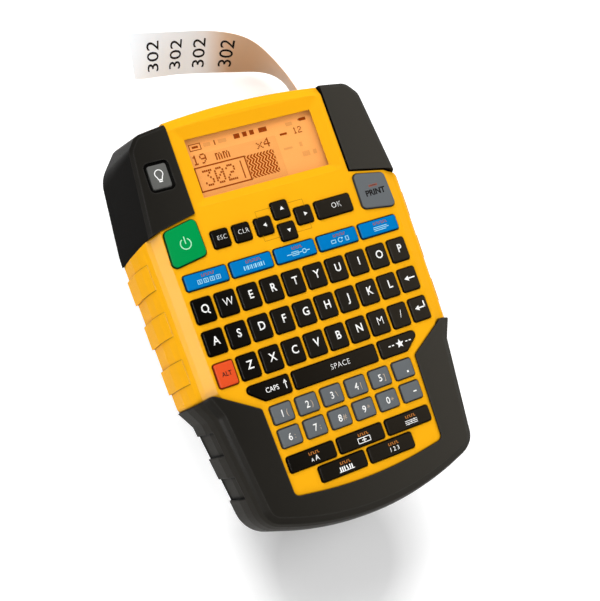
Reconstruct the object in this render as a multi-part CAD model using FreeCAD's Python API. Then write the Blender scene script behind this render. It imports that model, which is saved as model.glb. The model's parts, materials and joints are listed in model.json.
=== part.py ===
import FreeCAD, Part
import math
import os

V = FreeCAD.Vector

# ---------------------------------------------------------------------------
# Hand-held label maker lying on its back, millimetres, +Z up.
# Origin: middle of the rear rest face, on the keypad's centre line.
# +Y points to the label exit, +X to the user's right.
# ---------------------------------------------------------------------------

# Casing
face_z = 47.0            # front face above the rest plane
split_z = 19.0           # parting line, where the casing is widest
wall = 2.4
rim_in = 4.2             # width of the sloping rim of the face
rim_drop = 2.6           # height of the sloping rim of the face
cavity_in = 0.2          # extra inset of the cavity under the face
rear_in = 5.0            # inset of the rear face from the widest outline
rear_step_z = 5.0        # height where the rear face starts to round off
rear_step_in = 3.6       # inset there of the sides and the user's end
rear_end_in = 1.6        # inset there of the exit end, which houses the cutter
side_turns = (0, 14, 28, 44, 62, 90)     # degrees round the elliptical section of the sides
bumper_proud = 0.8       # bumpers stand this far outside the yellow casing
bumper_back, button_back = 1.9, 0.7      # how far both end short of the casing just under the face
shoulder_ahead = 1.2     # how far both reach past the casing at the parting line
bumper_rim_in = 1.5
bumper_rim_drop = 1.3
least_radius = 0.3       # smallest corner rounding of an outline

# Casing outline: half widths and lengths just under the face (brow) and at the parting line (hip)
top_crown_brow, top_crown_hip = 91.7, 93.2    # corner of the two nearly straight halves of the exit end
top_crown_radius = 300.0
top_corner_brow, top_corner_hip = (47.2, 85.1), (50.2, 86.2)
top_corner_radius = 5.0
shoulder_brow, shoulder_hip = (51.2, 80.0), (59.1, 75.5)
shoulder_radius_brow, shoulder_radius_hip = 5.0, 14.0
widest_y = 42.0
widest_brow, widest_hip = 54.9, 62.5
widest_radius = 60.0
waist_y = -23.5
waist_brow, waist_hip = 53.6, 60.6
below_waist_y = -31.6
below_waist_brow, below_waist_hip = 50.4, 56.0
waist_radius = 5.0
foot_corner_brow = (45.4, -74.9)
foot_corner_hip = (49.6, -78.4)
foot_corner_radius_brow, foot_corner_radius_hip = 6.0, 13.0
foot_tip_brow, foot_tip_hip = -91.4, -95.4
foot_radius = 115.0

# Places where the bumpers meet the yellow casing
beyond, far_end = 80.0, 120.0            # outside every outline, sideways and lengthways
shoulder_x = 34.8        # inner edge of the shoulder bumpers
shoulder_low = (shoulder_x, 47.6, 0.3)   # corners of the parting line and their rounding
shoulder_rim = (50.4, 44.4, 3.0)
shoulder_tail = (55.5, 42.9, 6.0)
shoulder_tip = (beyond, 31.0, 1.0)
tongue_side = (beyond, -28.5, 1.0)
tongue_rim = (51.9, -22.9, 3.0)
tongue_top = (35.0, -33.9, 1.5)
tongue_low = (33.7, -70.0, 2.5)
tongue_tip = (0, -75.3, 170.0)

# Grip pads on the yellow sides and pockets on the lower bumper's sides
pad_places = ((28.7, 10.3), (9.2, 9.9), (-10.5, 9.9))
pad_high_z = 41.5
pad_slant = 1.0          # lower ends of the pads lean towards the user
pad_proud = 1.0          # at the parting line, fading out towards the face
pocket_places = ((-41.2, 10.0), (-60.0, 9.5))
pocket_high_z = 39.0
pocket_depth = 1.2

# Keys
key_proud = 1.1          # key tops above the face
key_travel = 0.9
key_gap = 0.35           # clearance in the key openings
flange_lap = 0.25        # key flange beyond the opening's edge
flange_thick = 0.9
flange_play = 0.15       # flange below the face's inner side
plunger_length = 0.55
plunger_radius = 1.6
dome_play = 0.12         # dome below the pressed key
key_round = 0.9
letter_pitch_x, letter_pitch_y = 9.8, 13.13
letter_top_y = 9.75
letter_size = (8.1, 9.7)
letter_columns = 10
setting_pitch, setting_y = 19.5, 21.55
setting_size = (18.0, 6.4)
nav_y = 35.1
nav_size = (7.2, 7.2)
arrow_reach_x, arrow_reach_y = 9.05, 4.65
escape_x, clear_x, ok_x = -28.0, -18.7, 22.9
ok_size = (16.4, 7.5)
space_y = -27.7
space_size = (37.6, 7.2)
wing_in_x = 20.5         # inner ends of the caps and favourites keys
wing_out_x, wing_low_x = 41.0, 32.4
wing_radius = 1.6
digit_pitch_x, digit_pitch_y = 11.07, 9.6
digit_top_y = -37.9
digit_size = (8.9, 7.4)
digit_columns = 6
function_pitch = 22.1
function_y, function_low_y = -58.0, -65.8
function_size = (20.4, 6.3)
light_place = (-43.6, 65.5)
light_size = (7.9, 9.8)
light_frame = 1.3        # width of the recess round the backlight key
light_frame_depth = 1.0
side_key = ((35.7, 46.0), (49.7, 43.3), (50.3, 28.2), (35.3, 30.5))
side_key_round = 2.0

# Display
window_half_x, window_low_y, window_high_y = 28.4, 53.0, 78.0
frame_half_x, frame_low_y, frame_high_y = 33.0, 49.4, 83.2
frame_step = 0.6         # straight edge under the sloping frame
lens_lap = 2.0
lens_thick = 1.2
lens_play = 0.1
window_radius, frame_radius = 0.5, 2.0
lcd_thick = 3.2

# Keypad mat and main board
mat_drop = 5.4           # top of the mat below the face
mat_thick = 1.0
mat_high_y = 46.0
mat_margin = 0.25        # mat beyond the outer letter keys' flanges
mat_light_high_y = 73.0  # the mat reaches up under the backlight key
board_thick = 1.6
board_half_x = 45.5
board_low_y, board_high_y = -69.0, 82.0
room_play = 0.5          # mat and board inside the casing

# Cutter button on the right shoulder
cutter_gap = 0.6
cutter_travel = 2.4
cutter_skirt_z = 36.5    # lower edge of the button's skirt
skirt_gap = 0.4          # left under the pressed skirt
fence_play = 0.5
fence_thick, fence_floor = 0.8, 0.7
fence_top_z = 39.0
stem_radius = 1.0
stem_place = (46.7, 73.6)
stem_gap = 0.4           # left under the pressed stem
spring_wire = 0.25       # radius of the wire
spring_radius = 1.5
spring_turns = 5

# Label strip
label_width = 19.0
label_thick = 0.3
label_exit = (37.2, 88.0, 14.0)
label_lean = 17.4        # degrees from +Y towards +X at the exit
label_rise = 1.8         # degrees upwards at the exit
label_outside = 96.6     # length outside the casing
label_bend = (0.0437, 0.0346, 0.0293, 0.0073, -0.0175)    # radians per mm, even stations
label_twist = (-0.0428, 0.0485, -0.0051, 0.0281)          # radians per mm, even stations
label_steps = 240
label_sections = 16
exit_slot_half = 1.4
exit_slot_play = 0.8
guide_y = 64.3           # where the web leaves the roll along X

# Cassette, spools and feed
cassette_low_x, cassette_high_x = -24.0, 26.0
cassette_low_y, cassette_high_y = 15.0, 67.0
cassette_wall = 1.5
cassette_low_z, cassette_high_z = 2.6, 25.6
roll_radius, ribbon_radius, takeup_radius = 14.2, 8.0, 6.5
roll_place, ribbon_place, takeup_place = (-6.5, 49.6), (-10.0, 26.0), (14.5, 31.0)
spool_bore = 3.0
shaft_play = 0.08
spool_side_play = 0.5
web_slot_half = 1.2
nip_back = 14.0          # print line before the exit, along the label
platen_radius = 4.0
nip_play = 0.05
platen_shaft_radius = 1.5
head_thick = 1.2
head_arm_back = 9.0      # head pivot before the exit, along the label
head_pivot_out = 4.2     # head pivot beside the label
head_pin_radius = 1.4
head_inset = 1.0         # print head narrower than the label at each edge
head_half = 3.6          # half length of the print line's heater plate
blade_back = 7.5         # cutter blade before the exit wall
blade_thick = 0.6
blade_rest = 4.3         # blade edge from the label at rest
blade_stroke = 4.0
blade_length = 8.0
blade_carrier = 5.0

# Mechanism frame and gear train
frame_gap = 1.6          # frame above the cassette
frame_thick = 2.0
frame_outline = ((-41.8, 10.7), (-41.8, 74.4), (25.0, 74.4), (27.5, 82.6), (52.5, 82.6),
                 (57.0, 70.0), (57.0, 44.0), (45.0, 41.0), (45.0, 10.7))
bay_wall = 1.5
rib_drop = 1.3
rib_places = ((-20.0, 18.0), (6.0, 44.0))
rib_size = (3.0, 12.0)
spacer_places = ((-38.0, 14.0), (-38.0, 70.0), (-10.0, 71.0), (20.0, 70.5))
spacer_radius = 2.4
gear_module = 0.6
gear_centre_play = 0.12
pinion_teeth, idler_teeth, platen_teeth = 12, 20, 24
long_idler_teeth, takeup_teeth = 50, 30
gear_lift = 0.6          # gears above the frame
gear_thick = 3.0
tooth_tip, tooth_root = 0.85, 1.15    # in modules from the pitch circle
tooth_shares = (0.62, 0.46, 0.22)     # tooth width at root, pitch circle and tip, as shares of the pitch
motor_radius = 7.0
motor_low_z = 8.0
motor_reach = 22.0       # motor from the platen shaft
motor_turn = -71.0       # direction from the platen shaft to the motor, degrees
motor_shaft_radius = 1.0
gear_pin_radius = 1.2
platen_lug = (3.0, 1.6)  # width beyond the platen shaft and thickness of its lower bearing
rail_gap = 0.3
rail_size = (1.6, 6.0)

# Batteries, six AA cells side by side
cell_radius, cell_length = 7.1, 50.0
cell_count = 6
cell_pitch = 14.6
cell_button = (2.6, 1.0)
cell_floor = 0.5         # play above and below the cells
bay_play = 0.3           # play at the ends and sides of the cells
contact_room = 2.2
contact_thick = 0.4
bay_y = -46.0
cell_bay_wall = 1.4

# Doors on the back
door_thick = 1.4
door_recess = 1.75
door_lap = 1.2           # door beyond its bay
door_play = 0.45
door_pin_radius = 0.5
door_pin_length = 1.0
pin_play = 0.08
cassette_door_low_y, cassette_door_high_y = 11.0, 74.6
cassette_door_half_x = 41.5

# Screws, feet and power inlet
screw_places = ((-50.5, 30.0), (50.5, 14.0), (-50.5, -10.0), (50.5, -10.0), (-33.0, 78.6), (8.0, 78.8),
                (0.0, -79.6))
screw_radius = 1.45
screw_play = 0.05
screw_head_radius, screw_head_height = 2.7, 2.0
screw_seat_z = 6.0
screw_end_z = 27.0
boss_radius = 3.3
front_boss_z = 30.0
foot_x, foot_y = 47.0, 2.0          # upper pair
foot_low_x = 16.0                   # lower pair, below the battery door
foot_door_gap = 0.4
foot_pad_radius = 3.0
foot_pad_depth = 0.9
foot_ring_play = 0.05
jack_x, jack_z = -14.0, 25.2
jack_size = (9.0, 10.0, 11.0)
jack_wall_y = 86.6       # front of the inlet's body, behind the casing wall
jack_collar, jack_bore, jack_pin = 4.0, 3.0, 1.0
jack_collar_length = 3.3
jack_play = 0.1
jack_floor = 3.0


# ---------------------------------------------------------------------------
# Plain shapes
# ---------------------------------------------------------------------------

def block(x0, x1, y0, y1, z0, z1):
    """Box between two values on each axis."""
    return Part.makeBox(x1 - x0, y1 - y0, z1 - z0, V(x0, y0, z0))


def rod(x, y, z0, z1, radius):
    """Upright cylinder."""
    return Part.makeCylinder(radius, z1 - z0, V(x, y, z0), V(0, 0, 1))


def bar(x0, x1, y, z, radius):
    """Cylinder along X."""
    return Part.makeCylinder(radius, x1 - x0, V(x0, y, z), V(1, 0, 0))


def joined(shapes):
    """One shape fused from several."""
    whole = shapes[0]
    if len(shapes) > 1:
        whole = whole.fuse(shapes[1:])
    return whole.removeSplitter()


def step(start, end):
    """Unit direction from one corner to the next."""
    dx, dy = end[0] - start[0], end[1] - start[1]
    length = math.hypot(dx, dy)
    return dx / length, dy / length


def inset(corners, distance):
    """Moves the sides of a clockwise outline (x, y, radius) inwards."""
    moved = []
    for place, (x, y, radius) in enumerate(corners):
        ax, ay = step(corners[place - 1], corners[place])
        bx, by = step(corners[place], corners[(place + 1) % len(corners)])
        share = distance / (1 + ax * bx + ay * by)
        turns_in = ax * by - ay * bx < 0
        new_radius = radius - distance if turns_in else radius + distance
        moved.append((x + (ay + by) * share, y - (ax + bx) * share, max(new_radius, least_radius)))
    return moved


def ring(corners, z):
    """Closed wire with an arc at each corner (x, y, radius) of a clockwise outline."""
    arcs = []
    for place, (x, y, radius) in enumerate(corners):
        ax, ay = step(corners[place - 1], corners[place])
        bx, by = step(corners[place], corners[(place + 1) % len(corners)])
        half = math.atan2(abs(ax * by - ay * bx), ax * bx + ay * by) / 2
        reach = radius * math.tan(half)
        side = math.hypot(bx - ax, by - ay)
        sag = radius / math.cos(half) - radius
        middle = V(x + (bx - ax) / side * sag, y + (by - ay) / side * sag, z)
        arcs.append((V(x - ax * reach, y - ay * reach, z), middle, V(x + bx * reach, y + by * reach, z)))
    edges = []
    for place, (start, middle, end) in enumerate(arcs):
        edges.append(Part.LineSegment(arcs[place - 1][2], start).toShape())
        edges.append(Part.Arc(start, middle, end).toShape())
    return Part.Wire(edges)


def plate(corners, z0, z1):
    """Slab of a rounded clockwise outline."""
    return Part.Face(ring(corners, z0)).extrude(V(0, 0, z1 - z0))


def slab(points, z0, z1):
    """Slab of a sharp outline."""
    places = [V(x, y, z0) for x, y in points]
    return Part.Face(Part.makePolygon(places + places[:1])).extrude(V(0, 0, z1 - z0))


def oblong(x, y, size, radius):
    """Rounded rectangle as a clockwise outline."""
    half_x, half_y = size[0] / 2, size[1] / 2
    return [(x - half_x, y + half_y, radius), (x + half_x, y + half_y, radius),
            (x + half_x, y - half_y, radius), (x - half_x, y - half_y, radius)]


def mirrored(corners):
    """Clockwise outline on the other side of the centre line."""
    return [(-x, y, *rest) for x, y, *rest in reversed(corners)]


# ---------------------------------------------------------------------------
# Casing outlines and shells
# ---------------------------------------------------------------------------

def casing_outline(flare, set_back=0):
    """Clockwise outline, flare 0 just under the face and 1 at the parting line."""
    def mix(brow, hip):
        return brow + (hip - brow) * flare
    right = [
        (mix(top_corner_brow[0], top_corner_hip[0]), mix(top_corner_brow[1], top_corner_hip[1]) - set_back,
         top_corner_radius),
        (mix(shoulder_brow[0], shoulder_hip[0]), mix(shoulder_brow[1], shoulder_hip[1]) - set_back,
         mix(shoulder_radius_brow, shoulder_radius_hip)),
        (mix(widest_brow, widest_hip), widest_y, widest_radius),
        (mix(waist_brow, waist_hip), waist_y, waist_radius),
        (mix(below_waist_brow, below_waist_hip), below_waist_y, waist_radius),
        (mix(foot_corner_brow[0], foot_corner_hip[0]), mix(foot_corner_brow[1], foot_corner_hip[1]),
         mix(foot_corner_radius_brow, foot_corner_radius_hip)),
    ]
    crown = [(0, mix(top_crown_brow, top_crown_hip) - set_back, top_crown_radius)]
    foot = [(0, mix(foot_tip_brow, foot_tip_hip), foot_radius)]
    return crown + right + foot + mirrored(right)


def stacked(levels, backs=(0, 0)):
    """Solid through outlines given as (z, flare, inset) and how much less the exit end is inset, if it is.

    backs are set-backs of the exit end at flare 0 and 1.
    """
    rings = []
    for z, flare, distance, *less in levels:
        set_back = backs[0] + (backs[1] - backs[0]) * flare - sum(less)
        rings.append(ring(inset(casing_outline(flare, set_back), distance), z))
    return Part.makeLoft(rings, True, True)


def rounded_sides(top_z, distance):
    """Levels of the elliptical sides from under the face down to the parting line."""
    turns = [math.radians(turn) for turn in side_turns]
    return [(split_z + (top_z - split_z) * math.cos(turn), math.sin(turn), distance) for turn in turns]


brow_z = face_z - rim_drop
inner_brow_z = brow_z - wall
inner_flare = (brow_z - inner_brow_z) / (brow_z - split_z)
front_body = stacked([(face_z, 0, rim_in)] + rounded_sides(brow_z, 0))
front_hollow = stacked([(face_z - wall, 0, wall + cavity_in), (inner_brow_z, inner_flare, wall + cavity_in),
                        (split_z, 1, wall)])
rear_less_in = rear_step_in - rear_end_in
rear_body = stacked([(split_z, 1, 0), (rear_step_z, 1, rear_step_in, rear_less_in), (0, 1, rear_in)])
rear_hollow = stacked([(split_z, 1, wall), (rear_step_z, 1, rear_step_in + wall, rear_less_in),
                       (wall, 1, rear_in + wall / 2)])
bumper_top_z = face_z + bumper_proud
bumper_rim = [(bumper_top_z, 0, bumper_rim_in - bumper_proud)]
bumper_brow_z = bumper_top_z - bumper_rim_drop
lower_shell = stacked(bumper_rim + rounded_sides(bumper_brow_z, -bumper_proud)).cut(front_hollow)
straight_sides = bumper_rim + [(bumper_brow_z, 0, -bumper_proud), (split_z, 1, -bumper_proud)]
left_shell = stacked(straight_sides, (bumper_back, -shoulder_ahead)).cut(front_hollow)
right_shell = stacked(straight_sides, (button_back, -shoulder_ahead)).cut(front_hollow)
over_z = bumper_top_z + 1

# Outlines of the upright prisms that part the casing's mouldings
shoulder_right = [(shoulder_x, far_end, least_radius), (beyond, far_end, least_radius),
                  shoulder_tip, shoulder_tail, shoulder_rim, shoulder_low]
tongue_right = [tongue_side, tongue_rim, tongue_top, tongue_low]
tongue = ([(-beyond, far_end, least_radius), (beyond, far_end, least_radius)] + tongue_right
          + [tongue_tip] + mirrored(tongue_right))


# ---------------------------------------------------------------------------
# Keys
# ---------------------------------------------------------------------------

flange_top_z = face_z - wall - flange_play
plunger_z = flange_top_z - flange_thick - plunger_length
mat_z = face_z - mat_drop
dome_z = plunger_z - key_travel - dome_play


def centre(outline):
    count = len(outline)
    return sum(corner[0] for corner in outline) / count, sum(corner[1] for corner in outline) / count


def key(outline, top_z):
    """Key cap in its opening, with the flange that keeps it in and its plunger."""
    x, y = centre(outline)
    cap = plate(outline, flange_top_z - flange_thick, top_z)
    flange = plate(inset(outline, -(key_gap + flange_lap)), flange_top_z - flange_thick, flange_top_z)
    return joined([cap, flange, rod(x, y, plunger_z, flange_top_z, plunger_radius)])


def column_x(place, count, pitch):
    return (place - (count - 1) / 2) * pitch


def letter_y(row):
    return letter_top_y - row * letter_pitch_y


def letter(place, row):
    return oblong(column_x(place, letter_columns, letter_pitch_x), letter_y(row), letter_size, key_round)


def nav(x, y):
    return oblong(x, y, nav_size, key_round)


wing_high_y, wing_low_y = space_y + space_size[1] / 2, space_y - space_size[1] / 2
favourites_outline = [(wing_in_x, wing_high_y, key_round), (wing_out_x, wing_high_y, wing_radius),
                      (wing_low_x, wing_low_y, wing_radius), (wing_in_x, wing_low_y, key_round)]
print_outline = [(x, y, side_key_round) for x, y in side_key]

key_outlines = {
    "power_key": [mirrored(print_outline)],
    "print_key": [print_outline],
    "escape_key": [nav(escape_x, nav_y)],
    "clear_key": [nav(clear_x, nav_y)],
    "left_arrow_key": [nav(-arrow_reach_x, nav_y)],
    "right_arrow_key": [nav(arrow_reach_x, nav_y)],
    "up_arrow_key": [nav(0, nav_y + arrow_reach_y)],
    "down_arrow_key": [nav(0, nav_y - arrow_reach_y)],
    "ok_key": [oblong(ok_x, nav_y, ok_size, key_round)],
    "letter_keys_upper": [letter(place, 0) for place in range(letter_columns)],
    "letter_keys_middle": [letter(place, 1) for place in range(letter_columns)],
    "shift_key": [letter(0, 2)],
    "letter_keys_lower": [letter(place, 2) for place in range(1, letter_columns)],
    "space_key": [oblong(0, space_y, space_size, key_round)],
    "favourites_key": [favourites_outline],
    "caps_key": [mirrored(favourites_outline)],
}
for number in range(5):
    key_outlines[f"setting_key_{number + 1}"] = [
        oblong(column_x(number, 5, setting_pitch), setting_y, setting_size, key_round)]
for row, name in enumerate(("digit_keys_upper", "digit_keys_lower")):
    key_outlines[name] = [
        oblong(column_x(place, digit_columns, digit_pitch_x), digit_top_y - row * digit_pitch_y,
               digit_size, key_round) for place in range(digit_columns)]
for name, count, y in (("function_keys_upper", 3, function_y), ("function_keys_lower", 2, function_low_y)):
    key_outlines[name] = [oblong(column_x(place, count, function_pitch), y, function_size, key_round)
                          for place in range(count)]
face_outlines = [outline for outlines in key_outlines.values() for outline in outlines]
light_outline = oblong(*light_place, light_size, key_round)

parts = {name: Part.makeCompound([key(outline, face_z + key_proud) for outline in outlines])
         if len(outlines) > 1 else key(outlines[0], face_z + key_proud)
         for name, outlines in key_outlines.items()}
parts["backlight_key"] = key(light_outline, bumper_top_z - light_frame_depth + key_proud)


def key_opening(outline):
    return plate(inset(outline, -key_gap), face_z - wall - 1, over_z)


# ---------------------------------------------------------------------------
# Label route and feed geometry
# ---------------------------------------------------------------------------

lean = math.radians(label_lean)
along_x, along_y = math.sin(lean), math.cos(lean)
right_x, right_y = along_y, -along_x
exit_x, exit_y, label_z = label_exit
label_low_z, label_high_z = label_z - label_width / 2, label_z + label_width / 2


def beside_label(back, right):
    """Place measured back from the exit along the label, and to its right."""
    return exit_x - along_x * back + right_x * right, exit_y - along_y * back + right_y * right


def meeting(first, first_radius, second, second_radius, side):
    """Point at given distances from two centres, on one side of the line between them."""
    dx, dy = second[0] - first[0], second[1] - first[1]
    gap = math.hypot(dx, dy)
    reach = (first_radius ** 2 - second_radius ** 2 + gap ** 2) / (2 * gap)
    height = side * math.sqrt(first_radius ** 2 - reach ** 2)
    return (first[0] + (dx * reach - dy * height) / gap, first[1] + (dy * reach + dx * height) / gap)


platen = beside_label(nip_back, label_thick / 2 + nip_play + platen_radius)
motor_angle = math.radians(motor_turn)
motor = (platen[0] + motor_reach * math.cos(motor_angle), platen[1] + motor_reach * math.sin(motor_angle))


def pitch_radius(teeth):
    return gear_module * teeth / 2


def centre_distance(teeth, more_teeth):
    return pitch_radius(teeth + more_teeth) + gear_centre_play


idler = meeting(platen, centre_distance(platen_teeth, idler_teeth), motor,
                centre_distance(pinion_teeth, idler_teeth), 1)
long_idler = meeting(takeup_place, centre_distance(takeup_teeth, long_idler_teeth), motor,
                     centre_distance(pinion_teeth, long_idler_teeth), -1)

cassette_low_in, cassette_high_in = cassette_low_z + cassette_wall, cassette_high_z - cassette_wall
frame_z = cassette_high_z + frame_gap
frame_top_z = frame_z + frame_thick
gear_z = frame_top_z + gear_lift
gear_top_z = gear_z + gear_thick
exit_slot = block(exit_x - exit_slot_half - along_x / along_y * wall, exit_x + exit_slot_half,
                  exit_y - 2 * wall - rear_in, exit_y + rear_in,
                  label_low_z - exit_slot_play, label_high_z + exit_slot_play)


# ---------------------------------------------------------------------------
# Casing mouldings
# ---------------------------------------------------------------------------

def opening(half_x, low_y, high_y, radius):
    """Rounded opening on the centre line as a clockwise outline."""
    return oblong(0, (low_y + high_y) / 2, (2 * half_x, high_y - low_y), radius)


window_outline = opening(window_half_x, window_low_y, window_high_y, window_radius)
frame_edge = opening(frame_half_x, frame_low_y, frame_high_y, frame_radius)


def side_prisms(places, high_z, slant):
    """Bars along X through both sides from the parting line up, leaning when seen from the side."""
    bars = []
    for y, length in places:
        half = length / 2
        points = [V(-beyond, y - half, high_z), V(-beyond, y + half, high_z),
                  V(-beyond, y + half - slant, split_z), V(-beyond, y - half - slant, split_z)]
        bars.append(Part.Face(Part.makePolygon(points + points[:1])).extrude(V(2 * beyond, 0, 0)))
    return bars


def front_boss(x, y):
    """Screw boss under the face with a web to the nearest wall."""
    tube = rod(x, y, split_z, front_boss_z, boss_radius)
    half = wall / 2
    if abs(x) > abs(y) / 2:
        ends = sorted((x, math.copysign(beyond, x)))
        web = block(*ends, y - half, y + half, split_z, front_boss_z)
    else:
        ends = sorted((y, math.copysign(far_end, y)))
        web = block(x - half, x + half, *ends, split_z, front_boss_z)
    hole = rod(x, y, split_z - 1, front_boss_z + 1, screw_radius + screw_play)
    return joined([tube, web]).common(front_body).cut(hole)


grown_sides = stacked([(z, flare, -pad_proud * flare ** 2) for z, flare, _ in rounded_sides(brow_z, 0)])
pads = [prism.common(grown_sides) for prism in side_prisms(pad_places, pad_high_z, pad_slant)]
upper_bosses = [front_boss(x, y) for x, y in screw_places if y > waist_y]
lower_bosses = [front_boss(x, y) for x, y in screw_places if y < waist_y]
sloped_frame = Part.makeLoft([ring(frame_edge, face_z), ring(window_outline, face_z - wall + frame_step)],
                             True, True)
window_hole = plate(window_outline, face_z - 2 * wall, over_z)
button_room = plate(shoulder_right, split_z - 1, over_z)
left_room = plate(mirrored(shoulder_right), split_z - 1, over_z)
jack_hole = Part.makeCylinder(jack_collar + jack_play, beyond, V(jack_x, jack_wall_y - jack_size[1], jack_z),
                              V(0, 1, 0))

tongue_prism = plate(tongue, split_z - 1, over_z)
front = front_body.fuse(pads).cut([front_hollow, left_room, button_room]).common(tongue_prism)
front = front.fuse(upper_bosses)
front = front.cut([sloped_frame, window_hole, exit_slot, jack_hole]
                  + [key_opening(outline) for outline in face_outlines])
parts["front_housing"] = front.removeSplitter()

pocket_floor = stacked(rounded_sides(bumper_brow_z, pocket_depth - bumper_proud))
pockets = [prism.cut(pocket_floor) for prism in side_prisms(pocket_places, pocket_high_z, 0)]
parts["lower_bumper"] = joined([lower_shell.cut(tongue_prism).cut(pockets)] + lower_bosses)

light_recess = plate(inset(light_outline, -light_frame), bumper_top_z - light_frame_depth, over_z)
parts["left_shoulder_bumper"] = left_shell.common(left_room).cut(
    [light_recess, key_opening(light_outline)])

button_prism = plate(inset(shoulder_right, cutter_gap), cutter_skirt_z, over_z)
below_skirt = plate(shoulder_right, split_z - 1, cutter_skirt_z - cutter_travel - skirt_gap)
stem_x, stem_y = stem_place
stem_z = frame_top_z + cutter_travel + stem_gap
button_stem = rod(stem_x, stem_y, stem_z, face_z, stem_radius)
parts["cutter_button"] = joined([right_shell.common(button_prism), button_stem])

# A fence behind the skirt closes the gap that the button travels through
skirt_slope = (shoulder_hip[0] - shoulder_brow[0]) / (brow_z - split_z)
fence_in = cavity_in + cutter_travel * skirt_slope + fence_play
fence_floor_z = cutter_skirt_z - cutter_travel - skirt_gap - fence_floor


def inner_block(extra):
    """Casing's inside, inset further, as far as the fence reaches."""
    return stacked([(inner_brow_z, inner_flare, wall + extra), (split_z, 1, wall + extra)])


fence_room = plate(inset(shoulder_right, cutter_gap), fence_floor_z, fence_top_z)
fence_ledge = front_hollow.cut(inner_block(fence_in + fence_thick)).common(
    plate(shoulder_right, fence_floor_z, fence_floor_z + fence_floor))
fence = inner_block(fence_in).cut(inner_block(fence_in + fence_thick)).common(fence_room)
lower_right = right_shell.common(below_skirt)
parts["right_shoulder_bumper"] = joined([lower_right, fence_ledge, fence]).cut(exit_slot)

lens_z = face_z - wall - lens_play
lens_outline = inset(window_outline, -lens_lap)
mat_bottom_z = mat_z - mat_thick
parts["screen_window"] = plate(lens_outline, lens_z - lens_thick, lens_z)
parts["lcd_module"] = plate(inset(lens_outline, lens_lap / 2), mat_bottom_z, lens_z - lens_thick - lens_play)

room = stacked([(inner_brow_z, inner_flare, wall + cavity_in + room_play),
                (split_z, 1, wall + room_play)])
mat_half_x = (column_x(letter_columns - 1, letter_columns, letter_pitch_x) + letter_size[0] / 2
              + key_gap + flange_lap + mat_margin)
mat = joined([block(-mat_half_x, mat_half_x, board_low_y, mat_high_y, mat_bottom_z, mat_z),
              block(-mat_half_x, light_place[0] + light_size[0] / 2 + light_frame, mat_high_y - 1,
                    mat_light_high_y, mat_bottom_z, mat_z)]).common(room)
domes = []
for outline in face_outlines + [light_outline]:
    dome_x, dome_y = centre(outline)
    domes.append(rod(dome_x, dome_y, mat_bottom_z, dome_z, plunger_radius))
parts["keypad_mat"] = joined([mat] + domes)
board_z = mat_bottom_z - board_thick
board = block(-board_half_x, board_half_x, board_low_y, board_high_y, board_z, mat_bottom_z)
stem_notch = rod(stem_x, stem_y, board_z - 1, mat_bottom_z + 1, spring_radius + spring_wire + room_play)
parts["main_board"] = board.common(room).cut(stem_notch)


# ---------------------------------------------------------------------------
# Rear housing, doors and batteries
# ---------------------------------------------------------------------------

cell_z = door_thick + cell_floor + cell_radius
bay_top_z = cell_z + cell_radius + cell_floor
bay_half_x = cell_count * cell_pitch / 2 + bay_play
bay_half_y = cell_length / 2 + contact_room + bay_play
bay_low, bay_high = bay_y - bay_half_y, bay_y + bay_half_y


def cell_bay(grow, z0, z1):
    return block(-bay_half_x - grow, bay_half_x + grow, bay_low - grow, bay_high + grow, z0, z1)


def door(half_x, low_y, high_y, pin_y):
    """Flat door with a pair of hinge pins near one end."""
    leaf_half = half_x - door_play
    leaf = block(-leaf_half, leaf_half, low_y + door_play, high_y - door_play, 0, door_thick)
    pin_half = leaf_half + door_pin_length
    pin = bar(-pin_half, pin_half, pin_y, door_thick / 2, door_pin_radius)
    return joined([leaf, pin])


def door_cuts(half_x, low_y, high_y, pin_y):
    """Recess for a door with the holes of its hinge pins."""
    reach = door_pin_length + pin_play
    return [block(-half_x, half_x, low_y, high_y, -1, door_recess),
            bar(-half_x - reach, half_x + reach, pin_y, door_thick / 2, door_pin_radius + pin_play)]


cell_door = (bay_half_x + door_lap, bay_low - door_lap, bay_high + door_lap)
cell_pin_y = cell_door[1] + door_play + door_thick / 2
cassette_door = (cassette_door_half_x, cassette_door_low_y, cassette_door_high_y)
cassette_pin_y = cassette_door_high_y - door_play - door_thick / 2
cassette_bay = block(-cassette_door_half_x + door_lap, cassette_door_half_x - door_lap,
                     cassette_door_low_y + door_lap, cassette_door_high_y - door_lap, -1, split_z)

rear = rear_body.cut(rear_hollow)
rear_bosses = [rod(x, y, 0, split_z, boss_radius).common(rear_body) for x, y in screw_places]
rear = rear.fuse(rear_bosses + [cell_bay(cell_bay_wall, 0, bay_top_z + cell_bay_wall).common(rear_body)])
foot_low_y = cell_door[1] - foot_door_gap - foot_pad_radius
foot_places = [(-foot_x, foot_y), (foot_x, foot_y), (-foot_low_x, foot_low_y), (foot_low_x, foot_low_y)]
foot_pads = [rod(x, y, 0, foot_pad_depth, foot_pad_radius) for x, y in foot_places]
foot_seats = [rod(x, y, -1, foot_pad_depth, foot_pad_radius + foot_ring_play) for x, y in foot_places]
screw_holes = []
for x, y in screw_places:
    screw_holes += [rod(x, y, -1, screw_seat_z, screw_head_radius + door_play),
                    rod(x, y, 0, split_z + 1, screw_radius + screw_play)]
rear = rear.cut([cell_bay(0, -1, bay_top_z), cassette_bay, exit_slot] + door_cuts(*cell_door, cell_pin_y)
                + door_cuts(*cassette_door, cassette_pin_y) + foot_seats + screw_holes)
parts["rear_housing"] = rear.removeSplitter()
parts["battery_door"] = door(*cell_door, cell_pin_y)
parts["cassette_door"] = door(*cassette_door, cassette_pin_y)
parts["rubber_feet"] = Part.makeCompound(foot_pads)
parts["case_screws"] = Part.makeCompound([
    joined([rod(x, y, screw_seat_z - screw_head_height, screw_seat_z, screw_head_radius),
            rod(x, y, screw_seat_z, screw_end_z, screw_radius)]) for x, y in screw_places])

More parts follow.
